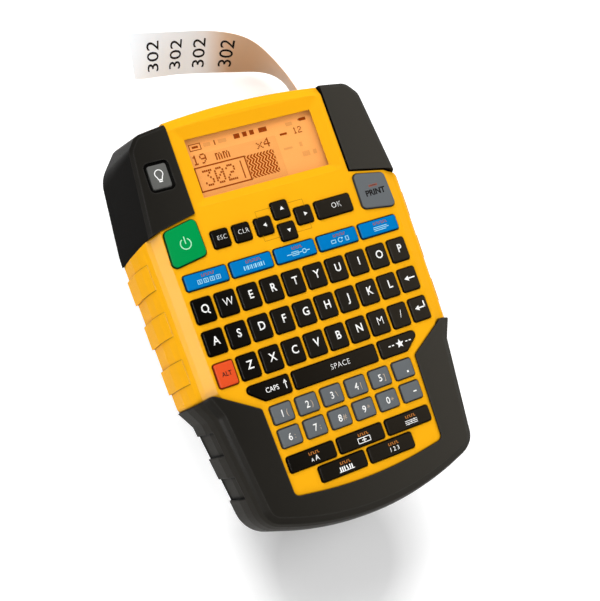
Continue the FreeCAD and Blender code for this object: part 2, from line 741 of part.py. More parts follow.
cells, contacts = [], []
button_radius, button_length = cell_button
for place in range(cell_count):
    x = column_x(place, cell_count, cell_pitch)
    way = 1 if place % 2 else -1
    body_low = bay_y - cell_length / 2 + (button_length if way < 0 else 0)
    can = Part.makeCylinder(cell_radius, cell_length - button_length, V(x, body_low, cell_z), V(0, 1, 0))
    nub = Part.makeCylinder(button_radius, cell_length, V(x, bay_y - cell_length / 2, cell_z), V(0, 1, 0))
    cells.append(joined([can, nub]))
    for end in (-1, 1):
        wall_y = bay_y + end * bay_half_y
        leaf_y = sorted((wall_y, wall_y - end * contact_thick))
        leaf = block(x - cell_radius / 2, x + cell_radius / 2, *leaf_y, cell_z - cell_radius / 2,
                     cell_z + cell_radius / 2)
        spring = Part.makeCylinder(button_radius / 2, contact_room + bay_play - contact_thick,
                                   V(x, wall_y - end * contact_thick, cell_z), V(0, -end, 0))
        contacts.append(joined([leaf, spring]))
parts["battery_cells"] = Part.makeCompound(cells)
parts["battery_contacts"] = Part.makeCompound(contacts)


# ---------------------------------------------------------------------------
# Power inlet
# ---------------------------------------------------------------------------

def pipe(x, y, z, radius, length):
    """Cylinder along +Y."""
    return Part.makeCylinder(radius, length, V(x, y, z), V(0, 1, 0))


jack_half_x, jack_half_z = jack_size[0] / 2, jack_size[2] / 2
jack_low_y = jack_wall_y - jack_size[1]
jack_body = joined([block(jack_x - jack_half_x, jack_x + jack_half_x, jack_low_y, jack_wall_y,
                          jack_z - jack_half_z, jack_z + jack_half_z),
                    pipe(jack_x, jack_wall_y, jack_z, jack_collar, jack_collar_length)])
jack_bore_tool = pipe(jack_x, jack_low_y + jack_floor, jack_z, jack_bore, beyond)
jack_centre = pipe(jack_x, jack_low_y, jack_z, jack_pin, jack_size[1])
parts["power_inlet"] = joined([jack_body.cut(jack_bore_tool), jack_centre])


# ---------------------------------------------------------------------------
# Label strip and cassette
# ---------------------------------------------------------------------------

def turned(vector, axis, angle):
    """Vector turned about a unit axis, angle in radians."""
    return FreeCAD.Rotation(axis, math.degrees(angle)).multVec(vector)


def between(values, share):
    """Value at a share of the length, straight between evenly spaced stations."""
    place = share * (len(values) - 1)
    low = min(int(place), len(values) - 2)
    return values[low] + (values[low + 1] - values[low]) * (place - low)


def curl():
    """Cross-sections of the label outside the casing, from the exit to its free end."""
    rise = math.radians(label_rise)
    point = V(*label_exit)
    ahead = V(along_x * math.cos(rise), along_y * math.cos(rise), math.sin(rise))
    across = V(0, 0, 1) - ahead * ahead.z
    across.normalize()
    length = label_outside / label_steps
    sections = []
    for number in range(label_steps + 1):
        if number % (label_steps // (label_sections - 1)) == 0:
            half_width, half_thick = across * (label_width / 2), ahead.cross(across) * (label_thick / 2)
            corners = [point + half_width + half_thick, point + half_width - half_thick,
                       point - half_width - half_thick, point - half_width + half_thick]
            sections.append(Part.makePolygon(corners + corners[:1]))
        share = number / label_steps
        turn = across * (between(label_bend, share) * length) + ahead * (between(label_twist, share) * length)
        axis, angle = V(turn).normalize(), turn.Length
        new_ahead = turned(ahead, axis, angle)
        across = turned(across, axis, angle)
        point = point + (ahead + new_ahead) * (length / 2)
        ahead = new_ahead
    return sections


half_web = label_thick / 2
corner_back = (exit_y - guide_y) / along_y
web_slope = math.tan((math.pi / 2 - lean) / 2) * half_web
corner_x = exit_x - along_x * corner_back
web = slab([(roll_place[0], guide_y + half_web), (corner_x - web_slope, guide_y + half_web),
            beside_label(0, -half_web), beside_label(0, half_web),
            (corner_x + web_slope, guide_y - half_web), (roll_place[0], guide_y - half_web)],
           label_low_z, label_high_z)
parts["label_tape"] = joined([web, Part.makeLoft(curl(), True, False)])


def spool(place, radius, low, high, bore):
    return rod(*place, low, high, radius).cut(rod(*place, low - 1, high + 1, bore))


case = block(cassette_low_x, cassette_high_x, cassette_low_y, cassette_high_y,
             cassette_low_z, cassette_high_z)
case = case.cut(block(cassette_low_x + cassette_wall, cassette_high_x - cassette_wall,
                      cassette_low_y + cassette_wall, cassette_high_y - cassette_wall,
                      cassette_low_in, cassette_high_in))
web_slot = block(cassette_high_x - 2 * cassette_wall, cassette_high_x + 1, guide_y - web_slot_half,
                 guide_y + web_slot_half, cassette_low_in, cassette_high_in)
spindle_hole = rod(*takeup_place, cassette_low_z - 1, cassette_high_z + 1, spool_bore + spool_side_play)
posts = [rod(*place, cassette_low_z, cassette_high_z, spool_bore - shaft_play)
         for place in (roll_place, ribbon_place)]
parts["cassette_shell"] = joined([case.cut([web_slot, spindle_hole])] + posts)
parts["label_roll"] = spool(roll_place, roll_radius, label_low_z, label_high_z, spool_bore)
parts["ribbon_supply_spool"] = spool(ribbon_place, ribbon_radius, label_low_z, label_high_z, spool_bore)
parts["ribbon_takeup_spool"] = spool(takeup_place, takeup_radius, label_low_z, label_high_z, spool_bore)


# ---------------------------------------------------------------------------
# Mechanism frame, gears, print head and cutter
# ---------------------------------------------------------------------------

def mesh_phase(first, first_phase, first_teeth, second, second_teeth):
    """Angle of a tooth of the second gear so that it meshes with the first."""
    line = math.atan2(second[1] - first[1], second[0] - first[0])
    pitch = 2 * math.pi / first_teeth
    offset = (line - first_phase) % pitch
    return (line + math.pi
            + (offset * pitch_radius(first_teeth) - math.pi * gear_module / 2) / pitch_radius(second_teeth))


def gear(place, teeth, phase, bore):
    """Spur gear with straight-sided teeth."""
    radius = pitch_radius(teeth)
    radii = (radius - tooth_root * gear_module, radius, radius + tooth_tip * gear_module)
    points = []
    for tooth in range(teeth):
        middle = phase + 2 * math.pi * tooth / teeth
        sides = [(reach, share * math.pi / teeth) for reach, share in zip(radii, tooth_shares)]
        for reach, angle in [(reach, -angle) for reach, angle in sides] + sides[::-1]:
            points.append((place[0] + reach * math.cos(middle + angle),
                           place[1] + reach * math.sin(middle + angle)))
    return slab(points, gear_z, gear_top_z).cut(rod(*place, gear_z - 1, gear_top_z + 1, bore))


idler_phase = mesh_phase(platen, 0, platen_teeth, idler, idler_teeth)
pinion_phase = mesh_phase(idler, idler_phase, idler_teeth, motor, pinion_teeth)
long_phase = mesh_phase(motor, pinion_phase, pinion_teeth, long_idler, long_idler_teeth)
takeup_phase = mesh_phase(long_idler, long_phase, long_idler_teeth, takeup_place, takeup_teeth)

lug_width, lug_thick = platen_lug
platen_low_z = cassette_low_z + lug_thick + shaft_play
parts["platen_roller"] = joined([
    rod(*platen, label_low_z, label_high_z, platen_radius),
    rod(*platen, platen_low_z, gear_top_z, platen_shaft_radius)])
parts["platen_gear"] = gear(platen, platen_teeth, 0, platen_shaft_radius)
parts["idler_gear"] = gear(idler, idler_teeth, idler_phase, gear_pin_radius + shaft_play)
parts["long_idler_gear"] = gear(long_idler, long_idler_teeth, long_phase, gear_pin_radius + shaft_play)
parts["motor_pinion"] = gear(motor, pinion_teeth, pinion_phase, motor_shaft_radius)
parts["takeup_spindle"] = joined([
    gear(takeup_place, takeup_teeth, takeup_phase, platen_shaft_radius),
    rod(*takeup_place, frame_top_z + shaft_play, gear_top_z, spool_bore),
    rod(*takeup_place, cassette_low_in, gear_top_z, spool_bore)])
parts["drive_motor"] = joined([rod(*motor, motor_low_z, frame_z, motor_radius),
                               rod(*motor, frame_z, gear_top_z, motor_shaft_radius)])

head_low_z, head_high_z = label_low_z + head_inset, label_high_z - head_inset
head_pivot = beside_label(head_arm_back, -head_pivot_out)
head_face = -(label_thick / 2 + nip_play)
head_plate = slab([beside_label(nip_back - head_half, head_face - head_thick),
                   beside_label(nip_back - head_half, head_face),
                   beside_label(nip_back + head_half, head_face),
                   beside_label(nip_back + head_half, head_face - head_thick)],
                  head_low_z, head_high_z)
head_arm = slab([beside_label(head_arm_back, -head_pivot_out - head_thick),
                 beside_label(head_arm_back, -head_pivot_out + head_thick),
                 beside_label(nip_back, head_face - head_thick / 2),
                 beside_label(nip_back, head_face - 2 * head_thick)],
                head_low_z, head_high_z)
head_eye = rod(*head_pivot, head_low_z, head_high_z, head_pin_radius + head_thick)
head_hole = rod(*head_pivot, head_low_z - 1, head_high_z + 1, head_pin_radius + shaft_play)
parts["print_head"] = joined([head_plate, head_arm, head_eye]).cut(head_hole)

blade_x, blade_y = beside_label(blade_back / along_y, label_thick / 2)
blade_edge_x = blade_x + blade_rest
carrier_half = blade_carrier / 2
carrier_x = blade_edge_x + blade_length - carrier_half
carrier_top_z = frame_z - rail_gap
blade = block(blade_edge_x, blade_edge_x + blade_length, blade_y - blade_thick / 2, blade_y + blade_thick / 2,
              label_low_z, label_high_z)
carrier = block(carrier_x - carrier_half, carrier_x + carrier_half, blade_y - carrier_half / 2,
                blade_y + carrier_half / 2, label_low_z, carrier_top_z)
parts["cutter_blade"] = joined([blade, carrier])

rail_thick, rail_drop = rail_size
rails = []
for side in (-1, 1):
    rail_y = blade_y + side * (carrier_half / 2 + rail_gap + rail_thick / 2)
    rails.append(block(blade_edge_x, carrier_x + carrier_half, rail_y - rail_thick / 2,
                       rail_y + rail_thick / 2, frame_z - rail_drop, frame_z))
lug_x = platen[0] + platen_radius + lug_width
lug = joined([
    block(platen[0] - lug_width, lug_x + lug_thick, platen[1] - lug_width, platen[1] + lug_width,
          cassette_low_z, cassette_low_z + lug_thick),
    block(lug_x, lug_x + lug_thick, platen[1] - lug_width, platen[1] + lug_width, cassette_low_z, frame_z)])
lug = lug.cut(rod(*platen, 0, cassette_low_z + lug_thick + 1, platen_shaft_radius + shaft_play))
ribs = [block(x, x + rib_size[0], y, y + rib_size[1], frame_z - rib_drop, frame_z) for x, y in rib_places]
bay_walls = [block(-cassette_door_half_x + door_lap - bay_wall, -cassette_door_half_x + door_lap,
                   cassette_door_low_y + door_lap - bay_wall, cassette_door_high_y - door_lap, wall, frame_z),
             block(-cassette_door_half_x + door_lap - bay_wall, cassette_door_half_x - door_lap,
                   cassette_door_low_y + door_lap - bay_wall, cassette_door_low_y + door_lap, wall, frame_z)]
spacers = [rod(x, y, frame_z, board_z, spacer_radius) for x, y in spacer_places]
gear_pins = [rod(*place, frame_z, gear_top_z, gear_pin_radius) for place in (idler, long_idler)]
head_pin = rod(*head_pivot, head_low_z, frame_z, head_pin_radius)
deck = slab(frame_outline, frame_z, frame_top_z).common(room)
shaft_holes = [rod(*platen, frame_z - 1, frame_top_z + 1, platen_shaft_radius + shaft_play),
               rod(*takeup_place, frame_z - 1, frame_top_z + 1, spool_bore + shaft_play),
               rod(*motor, frame_z - 1, frame_top_z + 1, motor_shaft_radius + shaft_play)]
parts["mechanism_frame"] = joined([deck, lug] + rails + ribs + bay_walls + spacers + gear_pins
                                  + [head_pin]).cut(shaft_holes)

spring_height = face_z - wall - frame_top_z - 2 * spring_wire
coil = Part.makeHelix(spring_height / spring_turns, spring_height, spring_radius)
coil.translate(V(stem_x, stem_y, frame_top_z + spring_wire))
coil_start = V(stem_x + spring_radius, stem_y, frame_top_z + spring_wire)
coil_profile = Part.Wire(Part.makeCircle(spring_wire, coil_start, V(0, 1, 0)))
parts["cutter_spring"] = Part.Wire(coil.Edges).makePipeShell([coil_profile], True, True)

os.makedirs("parts", exist_ok=True)
for name, shape in sorted(parts.items()):
    shape.exportStep(f"parts/{name}.step")
    print(f"{name:24s} solids {len(shape.Solids):3d} valid {shape.isValid()} volume {shape.Volume:10.1f}")
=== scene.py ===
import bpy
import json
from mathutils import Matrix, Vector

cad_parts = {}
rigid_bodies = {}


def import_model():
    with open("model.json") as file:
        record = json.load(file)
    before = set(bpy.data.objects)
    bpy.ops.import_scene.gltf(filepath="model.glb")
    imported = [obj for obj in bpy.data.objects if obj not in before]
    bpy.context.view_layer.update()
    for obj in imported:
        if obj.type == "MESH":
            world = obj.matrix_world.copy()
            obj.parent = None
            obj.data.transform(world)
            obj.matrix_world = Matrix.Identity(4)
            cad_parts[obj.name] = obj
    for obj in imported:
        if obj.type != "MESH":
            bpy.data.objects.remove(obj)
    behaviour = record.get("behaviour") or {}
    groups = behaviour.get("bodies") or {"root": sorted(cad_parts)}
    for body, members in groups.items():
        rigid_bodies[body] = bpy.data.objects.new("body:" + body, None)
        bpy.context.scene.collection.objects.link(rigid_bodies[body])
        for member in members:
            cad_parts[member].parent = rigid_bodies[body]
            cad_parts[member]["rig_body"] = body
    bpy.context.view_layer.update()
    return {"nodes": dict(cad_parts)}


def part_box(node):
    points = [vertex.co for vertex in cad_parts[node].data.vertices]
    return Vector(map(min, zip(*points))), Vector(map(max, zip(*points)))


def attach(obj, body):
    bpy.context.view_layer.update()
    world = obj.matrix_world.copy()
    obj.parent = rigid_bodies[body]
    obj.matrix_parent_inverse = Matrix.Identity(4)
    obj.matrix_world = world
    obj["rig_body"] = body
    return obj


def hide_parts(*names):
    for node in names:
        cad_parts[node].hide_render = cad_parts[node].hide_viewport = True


bl_info = {
    "name": "Label Maker Dressing",
    "version": (1, 0, 0),
    "blender": (4, 5, 0),
    "location": "3D View > Sidebar > Label Maker",
    "description": "Key caps, legends, display, printed strip, finishes and stage of a hand-held label maker",
    "category": "Object",
}

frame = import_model()

import contextlib
import json
import math

import bpy
from mathutils import Color, Matrix, Vector

MM = 0.001

# Legends and their places are in millimetres and degrees.
SINK = 0.01             # how far a print reaches into its surface
LAYER = 0.03            # step between prints that lie over each other
CAPITAL = 0.72          # height of a capital letter as a share of the lettering size
STRIP_LENGTH = 96.6     # label strip from the casing to its cut end
STRIP_MARGIN = 11.0     # from the cut end to the first number on the strip

WHITE = (1, 1, 1, 1)
PAINTED_WALL_SHADE = 0.08             # share of a colour that is left on walls under painted shade


# ---- Sizes and colours that a user may change ----

def length(name, description, millimetres):
    return bpy.props.FloatProperty(name=name, description=description, default=millimetres * MM, min=0,
                                   subtype="DISTANCE", unit="LENGTH", precision=5)


def colour(name, description, *default):
    return bpy.props.FloatVectorProperty(name=name, description=description, size=3, min=0, max=1,
                                         subtype="COLOR_GAMMA", default=default)


def power(name, description, default):
    return bpy.props.FloatProperty(name=name, description=description, default=default, min=0,
                                   subtype="POWER", unit="POWER")


def strength(name, description, default):
    return bpy.props.FloatProperty(name=name, description=description, default=default, min=0)


class LABELMAKER_PG_sizes(bpy.types.PropertyGroup):
    """Sizes of the caps and legends"""
    cap_edge: length("Cap edge", "Rounding of the key tops", 0.8)
    letter_pitch: length("Letter pitch", "Distance between letter keys", 9.8)
    digit_pitch: length("Digit pitch", "Distance between digit keys", 11.07)
    function_pitch: length("Function pitch", "Distance between function keys", 22.1)
    letter_height: length("Letter height", "Height of the letters on the keys", 3.45)
    digit_height: length("Digit height", "Height of the digits on the keys", 2.9)
    word_height: length("Word height", "Height of the words on the keys", 2.1)
    ink_thickness: length("Ink thickness", "Thickness of the printed legends", 0.03)
    strip_print_height: length("Strip print height", "Height of the characters on the strip", 6.6)
    strip_print_pitch: length("Strip print pitch", "Distance between prints along the strip", 13.2)
    seam_edge: length("Seam edge", "Softness of the moulded edges", 0.35)


class LABELMAKER_PG_colours(bpy.types.PropertyGroup):
    """Colours of the finishes"""
    yellow: colour("Yellow", "Casing", 0.992, 0.7, 0.085)
    rubber: colour("Rubber", "Bumpers", 0.13, 0.123, 0.11)
    rear: colour("Rear", "Rear casing", 0.15, 0.148, 0.142)
    green: colour("Green", "Power key", 0.0, 0.588, 0.292)
    blue: colour("Blue", "Setting keys", 0.0, 0.471, 0.745)
    orange: colour("Orange", "Second function key", 0.9, 0.325, 0.155)
    grey: colour("Grey", "Digit keys and print key", 0.405, 0.42, 0.43)
    dark_grey: colour("Dark grey", "Backlight key", 0.384, 0.384, 0.373)
    black: colour("Black", "Letter keys", 0.022, 0.018, 0.013)
    display: colour("Display", "Lit display", 0.99, 0.67, 0.365)
    display_ink: colour("Display ink", "Dark cells of the display", 0.58, 0.22, 0.02)
    label: colour("Label", "Label strip", 0.93, 0.955, 0.98)
    white_ink: colour("White ink", "First legends", 0.97, 0.97, 0.96)
    green_ink: colour("Pale green ink", "Sign of the power key", 0.68, 0.93, 0.78)
    blue_ink: colour("Pale blue ink", "First legends of the setting keys", 0.62, 0.86, 0.94)
    orange_ink: colour("Orange ink", "Second legends of the black keys", 0.74, 0.46, 0.2)
    rust_ink: colour("Rust ink", "Second legends of the setting keys and the print key", 0.62, 0.36, 0.3)
    tan_ink: colour("Tan ink", "Second legends of the digit keys", 0.72, 0.65, 0.58)
    dark_ink: colour("Dark ink", "Legends on light keys and print on the strip", 0.12, 0.11, 0.11)


class LABELMAKER_PG_stage(bpy.types.PropertyGroup):
    """Light and camera"""
    lens: bpy.props.FloatProperty(name="Lens", description="Focal length of the camera", default=60.06,
                                  min=1, subtype="DISTANCE_CAMERA", unit="CAMERA")
    fill: strength("Fill", "Strength of the light from all round", 0.33)
    lamp: power("Lamp", "Power of the main soft lamp", 9.8)
    low: power("Low lamp", "Power of the soft lamp low on the left", 3.9)
    rim: power("Rim lamp", "Power of the lamp that glosses the left rim", 64.0)
    side: power("Side lamp", "Power of the lamp that lights the right side", 3.0)
    floor_glow: strength("Floor glow", "Paleness of the floor beside the object", 0.54)
    # Glow of the floor's painted shadow below the object.
    painted_shadow_glow: strength("Shadow glow", "Paleness of the shadow below the object", 0.07)


# ---- Finishes ----

class Sheet:
    """The node sheet of one finish, or of the surroundings."""

    def __init__(self, name="finish", surroundings=False):
        self.material = (bpy.data.worlds if surroundings else bpy.data.materials).new(name)
        self.material.use_nodes = True
        self.tree = self.material.node_tree
        self.tree.nodes.clear()
        if not surroundings:
            self.place = self.node("ShaderNodeTexCoord").outputs["Object"]

    def node(self, kind, settings=None, sockets=None):
        """A node of one type with its settings, then the values or links of its sockets."""
        made = self.tree.nodes.new(kind)
        for key, value in (settings or {}).items():
            if key == "stops":
                ramp = made.color_ramp
                while len(ramp.elements) < len(value):
                    ramp.elements.new(0.5)
                for stop, (position, shade) in zip(ramp.elements, value):
                    stop.position, stop.color = position, shade
            else:
                setattr(made, key, value)
        for key, value in (sockets or {}).items():
            value = value.socket if isinstance(value, Amount) else value
            if isinstance(value, bpy.types.NodeSocket):
                self.tree.links.new(value, made.inputs[key])
            else:
                made.inputs[key].default_value = value
        return made

    def noise(self, scale, detail=2.0, stretch=(1, 1, 1)):
        """Cloudy amount from 0 to 1, scale in features per metre."""
        place = self.place
        if stretch != (1, 1, 1):
            place = self.node("ShaderNodeMapping", {}, {"Vector": place, "Scale": stretch}).outputs[0]
        made = self.node("ShaderNodeTexNoise", {}, {"Vector": place, "Scale": scale, "Detail": detail})
        return Amount(self, made.outputs[0])

    def axis(self, number):
        """Place along one axis, in metres."""
        return Amount(self, self.node("ShaderNodeSeparateXYZ", {}, {0: self.place}).outputs[number])

    def away(self, point):
        """Distance from a point, in metres."""
        made = self.node("ShaderNodeVectorMath", {"operation": "DISTANCE"}, {0: self.place, 1: point})
        return Amount(self, made.outputs["Value"])

    def blend(self, share, first, second):
        """Colour between two colours."""
        return self.node("ShaderNodeMix", {"data_type": "RGBA"}, {0: share, 6: first, 7: second}).outputs[2]

    def rounded(self, radius=None):
        """Surface direction with the edges softened, by the chosen softness if no radius is given."""
        radius = radius or bpy.context.scene.label_maker_sizes.seam_edge
        return self.node("ShaderNodeBevel", {"samples": 4}, {"Radius": radius}).outputs[0]

    def edges(self, rounded, keen=5.0):
        """Amount that is 1 on sharp edges and 0 on flat faces."""
        flat = self.node("ShaderNodeNewGeometry").outputs["Normal"]
        match = self.node("ShaderNodeVectorMath", {"operation": "DOT_PRODUCT"}, {0: rounded, 1: flat})
        return ((1 - Amount(self, match.outputs["Value"])) * keen).held()

    def steepness(self):
        """Amount that is 0 on faces looking up and 1 on walls."""
        facing = self.node("ShaderNodeNewGeometry").outputs["Normal"]
        upward = self.node("ShaderNodeSeparateXYZ", {}, {0: facing}).outputs[2]
        return ((0.85 - Amount(self, upward)) * 3).held()

    def creases(self, reach):
        """Amount that is 0 in the open and rises to 1 where surfaces meet within reach."""
        near = self.node("ShaderNodeAmbientOcclusion", {"samples": 8}, {"Distance": reach})
        return ((0.97 - Amount(self, near.outputs["AO"])) * 2.4).held()

    def across(self):
        """Amount that goes from 0 at the left side of the object to 1 at its right side."""
        return (self.axis(0) * (1 / (105 * MM)) + 0.48).held()

    def relief(self, height, depth, rounded=None):
        """Surface direction with fine bumps."""
        sockets = {"Distance": depth, "Height": height}
        if rounded is not None:
            sockets["Normal"] = rounded
        return self.node("ShaderNodeBump", {}, sockets).outputs[0]

    def finish(self, **sockets):
        """Joins the surface shader to the output, socket names with underscores for spaces."""
        named = {key.replace("_", " "): value for key, value in sockets.items()}
        shader = self.node("ShaderNodeBsdfPrincipled", {}, named)
        self.node("ShaderNodeOutputMaterial", {}, {"Surface": shader.outputs[0]})
        return self.material

    def mixed(self, share, first, second, output):
        """Joins two shaders to the output, the second one by its share."""
        both = self.node("ShaderNodeMixShader", {}, {0: share, 1: first.outputs[0], 2: second.outputs[0]})
        self.node(output, {}, {"Surface": both.outputs[0]})
        return self.material


class Amount:
    """A number that varies over a surface; sums, differences and products add Math nodes."""

    def __init__(self, sheet, socket):
        self.sheet, self.socket = sheet, socket

    def maths(self, operation, first, second, clamp=False):
        made = self.sheet.node("ShaderNodeMath", {"operation": operation, "use_clamp": clamp},
                               {0: first, 1: second})
        return Amount(self.sheet, made.outputs[0])

    def __add__(self, other):
        return self.maths("ADD", self, other)

    def __sub__(self, other):
        return self.maths("SUBTRACT", self, other)

    def __rsub__(self, other):
        return self.maths("SUBTRACT", other, self)

    def __mul__(self, other):
        return self.maths("MULTIPLY", self, other)

    def __abs__(self):
        return self.maths("ABSOLUTE", self, 0.0)

    def __mod__(self, other):
        return self.maths("FLOORED_MODULO", self, other)

    def __gt__(self, other):
        return self.maths("GREATER_THAN", self, other)

    __radd__, __rmul__ = __add__, __mul__

    def held(self):
        """The amount kept between 0 and 1."""
        return self.maths("ADD", self, 0.0, clamp=True)


def linear(shade, times=1.0):
    """A chosen colour as the shaders take it."""
    made = Color(shade).from_srgb_to_scene_linear()
    return (*[min(part * times, 1.0) for part in made], 1.0)


def moulded(shade, roughness=0.42, specular=0.03, edge_wear_and_highlight=0.25, edge=None, spread=0.05, painted_shading=0.0, painted_sheen=0.0,
            painted_crease_shade=0.0):
    """Moulded plastic: fine spark grain, faint flow clouds and lighter edges, partly worn, partly painted
    highlight.

    With wall its walls get painted shade. With dusty it is painted that many times lighter at the right
    side of the object, a painted sheen. With seam it gets painted shade within that distance of a neighbour.
    """
    sheet = Sheet()
    soft = sheet.rounded(edge)
    cloud = sheet.noise(45, 3)
    fine = sheet.noise(2600, 2)
    # Edges lightened, partly worn and partly a painted highlight.
    worn_and_highlit = (sheet.edges(soft) * (sheet.noise(300, 2) * 1.5)).held()
    tint = sheet.blend(cloud, linear(shade, 1 - spread), linear(shade, 1 + spread))
    tint = sheet.blend(worn_and_highlit * edge_wear_and_highlight, tint, linear([part * 0.75 + 0.25 for part in shade]))
    # Painted sheen: lighter towards the right side of the object.
    if painted_sheen:
        tint = sheet.blend(sheet.across(), tint, linear(shade, painted_sheen))
    # Painted shade on the walls.
    if painted_shading:
        tint = sheet.blend(sheet.steepness() * painted_shading, tint, linear(shade, PAINTED_WALL_SHADE))
    # Painted shade in creases, where surfaces meet.
    if painted_crease_shade:
        tint = sheet.blend(sheet.creases(painted_crease_shade) * 0.75, tint, linear(shade, 0.12))
    return sheet.finish(
        Base_Color=tint, Specular_IOR_Level=specular,
        Roughness=(fine - 0.5) * 0.16 + (roughness + 0.04) - cloud * 0.08 - worn_and_highlit * 0.08,
        Normal=sheet.relief(fine, 0.012 * MM, soft))


def rubbery(shade, roughness=0.4, specular=0.008, edge=None, painted_shading=0.0):
    """Soft-touch rubber: pebbled, matt, greyed by dust in patches, lighter along its edges, partly worn,
    partly painted highlight.

    With wall it gets a painted sheen that lightens it to the right, painted shade on its walls towards
    the exit end, painted light on its walls at the handle end, and painted shade in its creases.
    """
    sheet = Sheet()
    soft = sheet.rounded(edge)
    cloud = sheet.noise(28, 4)
    pebbles = sheet.noise(1500, 3)
    # Edges lightened, partly worn and partly a painted highlight.
    worn_and_highlit = (sheet.edges(soft, 14.0) * (sheet.noise(220, 3) * 1.6)).held()
    tint = sheet.blend(cloud, linear(shade, 0.84), linear(shade, 1.18))
    # Painted sheen: lighter towards the right side of the object.
    if painted_shading:
        tint = sheet.blend(sheet.across(), tint, linear(shade, 3.1))
    tint = sheet.blend(worn_and_highlit * 0.4, tint, linear([part * 0.8 + 0.2 for part in shade]))
    # Painted shade on the walls towards the exit end and in the creases, painted light on the walls at the
    # handle end.
    if painted_shading:
        ahead = (sheet.axis(1) * (1 / (50 * MM)) + 0.2).held()
        tint = sheet.blend(sheet.steepness() * ahead * painted_shading, tint, linear(shade, PAINTED_WALL_SHADE))
        tint = sheet.blend(sheet.steepness() * (1 - ahead) * painted_shading, tint, linear(shade, 1.75))
        tint = sheet.blend(sheet.creases(1.6 * MM), tint, linear(shade, 0.1))
    return sheet.finish(
        Base_Color=tint, Specular_IOR_Level=specular,
        Roughness=(pebbles - 0.5) * 0.2 + roughness - cloud * 0.1,
        Normal=sheet.relief(pebbles, 0.03 * MM, soft))


def inked(shade, glow=0.0):
    """Printed ink: slightly uneven cover and a dry surface."""
    sheet = Sheet()
    speckle = sheet.noise(3800, 3)
    tint = sheet.blend(speckle, linear(shade, 0.93), linear(shade, 1.03))
    sockets = dict(Base_Color=tint, Roughness=speckle * 0.12 + 0.5, Specular_IOR_Level=0.02,
                   Normal=sheet.relief(speckle, 0.006 * MM))
    if glow:
        sockets.update(Emission_Color=tint, Emission_Strength=glow)
    return sheet.finish(**sockets)


def lit_display(shade):
    """Lit display: warm glow, brighter towards the lamps at its right end, and a faint grid of cells."""
    sheet = Sheet()
    across = sheet.axis(0) * (1 / (60 * MM)) + 0.5
    uneven = sheet.noise(90, 2)
    share = (across * 0.7 + uneven * 0.4 - 0.1).held()
    lines, rows = [((sheet.axis(number) * (1 / (0.42 * MM))) % 1.0) > 0.82 for number in (0, 1)]
    tint = sheet.blend(share, linear(shade, 0.97), linear(shade, 1.0))
    tint = sheet.blend((lines + rows).held() * 0.12, tint, linear(shade, 1.2))
    return sheet.finish(Base_Color=tint, Roughness=uneven * 0.1 + 0.4, Specular_IOR_Level=0.015,
                        Emission_Color=tint, Emission_Strength=0.1)


def hatched(light, dark):
    """Display area filled with strokes that zigzag from row to row."""
    sheet = Sheet()
    sway = abs((sheet.axis(1) * (1 / (1.3 * MM))) % 2.0 - 1)
    filled = ((sheet.axis(0) * (1 / (1.45 * MM)) + sway * 0.8) % 1.0) > 0.42
    speckle = sheet.noise(2400, 1)
    tint = sheet.blend(filled, linear(light), linear(dark))
    return sheet.finish(Base_Color=tint, Roughness=speckle * 0.1 + 0.4, Specular_IOR_Level=0.015,
                        Emission_Color=tint, Emission_Strength=0.05)


def clear_window():
    """Thin clear pane with faint smears."""
    sheet = Sheet()
    smear = sheet.noise(120, 3, (1, 3, 1))
    return sheet.finish(Base_Color=(0.6, 0.25, 0.03, 1), Alpha=smear * 0.03 + 0.005,
                        Roughness=smear * 0.12 + 0.06, Specular_IOR_Level=0.02,
                        Normal=sheet.relief(smear, 0.01 * MM))


def label_stock(shade):
    """Printed label stock: satin film tinted tan towards the casing as painted shade and painted reflection
    of the casing, with a painted glow where it is not tinted.
    """
    sheet = Sheet()
    low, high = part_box("label_tape")
    along = (sheet.axis(0) * (1 / (high.x - low.x)) + (-low.x / (high.x - low.x))).held()
    # Painted shade and painted reflection of the casing: a tan tint along the strip.
    stops = [(place, (share, share, share, 1)) for place, share in (
        (0.4, 0), (0.52, 0.2), (0.66, 0.95), (0.8, 1), (1.0, 0.8))]
    painted_shade_and_reflection = sheet.node("ShaderNodeValToRGB", {"stops": stops}, {"Fac": along}).outputs[0]
    fibres = sheet.noise(900, 3, (0.3, 1, 1))
    tint = sheet.blend(fibres, linear(shade, 0.97), linear(shade, 1.03))
    tint = sheet.blend(painted_shade_and_reflection, tint, linear((0.955, 0.83, 0.71)))
    # Painted glow where the strip is not tinted tan.
    painted_glow = sheet.blend(painted_shade_and_reflection, WHITE, (0.02, 0.02, 0.02, 1))
    return sheet.finish(Base_Color=tint, Roughness=fibres * 0.12 + 0.4, Specular_IOR_Level=0.04,
                        Emission_Color=painted_glow, Emission_Strength=0.11,
                        Normal=sheet.relief(fibres, 0.004 * MM))


def metal(shade):
    """Sheet steel with drawing marks."""
    sheet = Sheet()
    drawn = sheet.noise(700, 3, (1, 0.08, 1))
    tint = sheet.blend(drawn, linear(shade, 0.85), linear(shade, 1.05))
    return sheet.finish(Base_Color=tint, Metallic=1.0, Roughness=drawn * 0.22 + 0.2,
                        Normal=sheet.relief(drawn, 0.004 * MM))


def board():
    """Circuit board: green mask over tracks."""
    sheet = Sheet()
    tracks = ((sheet.axis(0) + sheet.axis(1)) * (1 / (2.2 * MM))) % 1.0 > 0.7
    cloud = sheet.noise(160, 2)
    tint = sheet.blend(tracks * cloud, linear((0.10, 0.33, 0.17)), linear((0.2, 0.5, 0.27)))
    return sheet.finish(Base_Color=tint, Roughness=cloud * 0.15 + 0.28,
                        Normal=sheet.relief(tracks, 0.02 * MM))


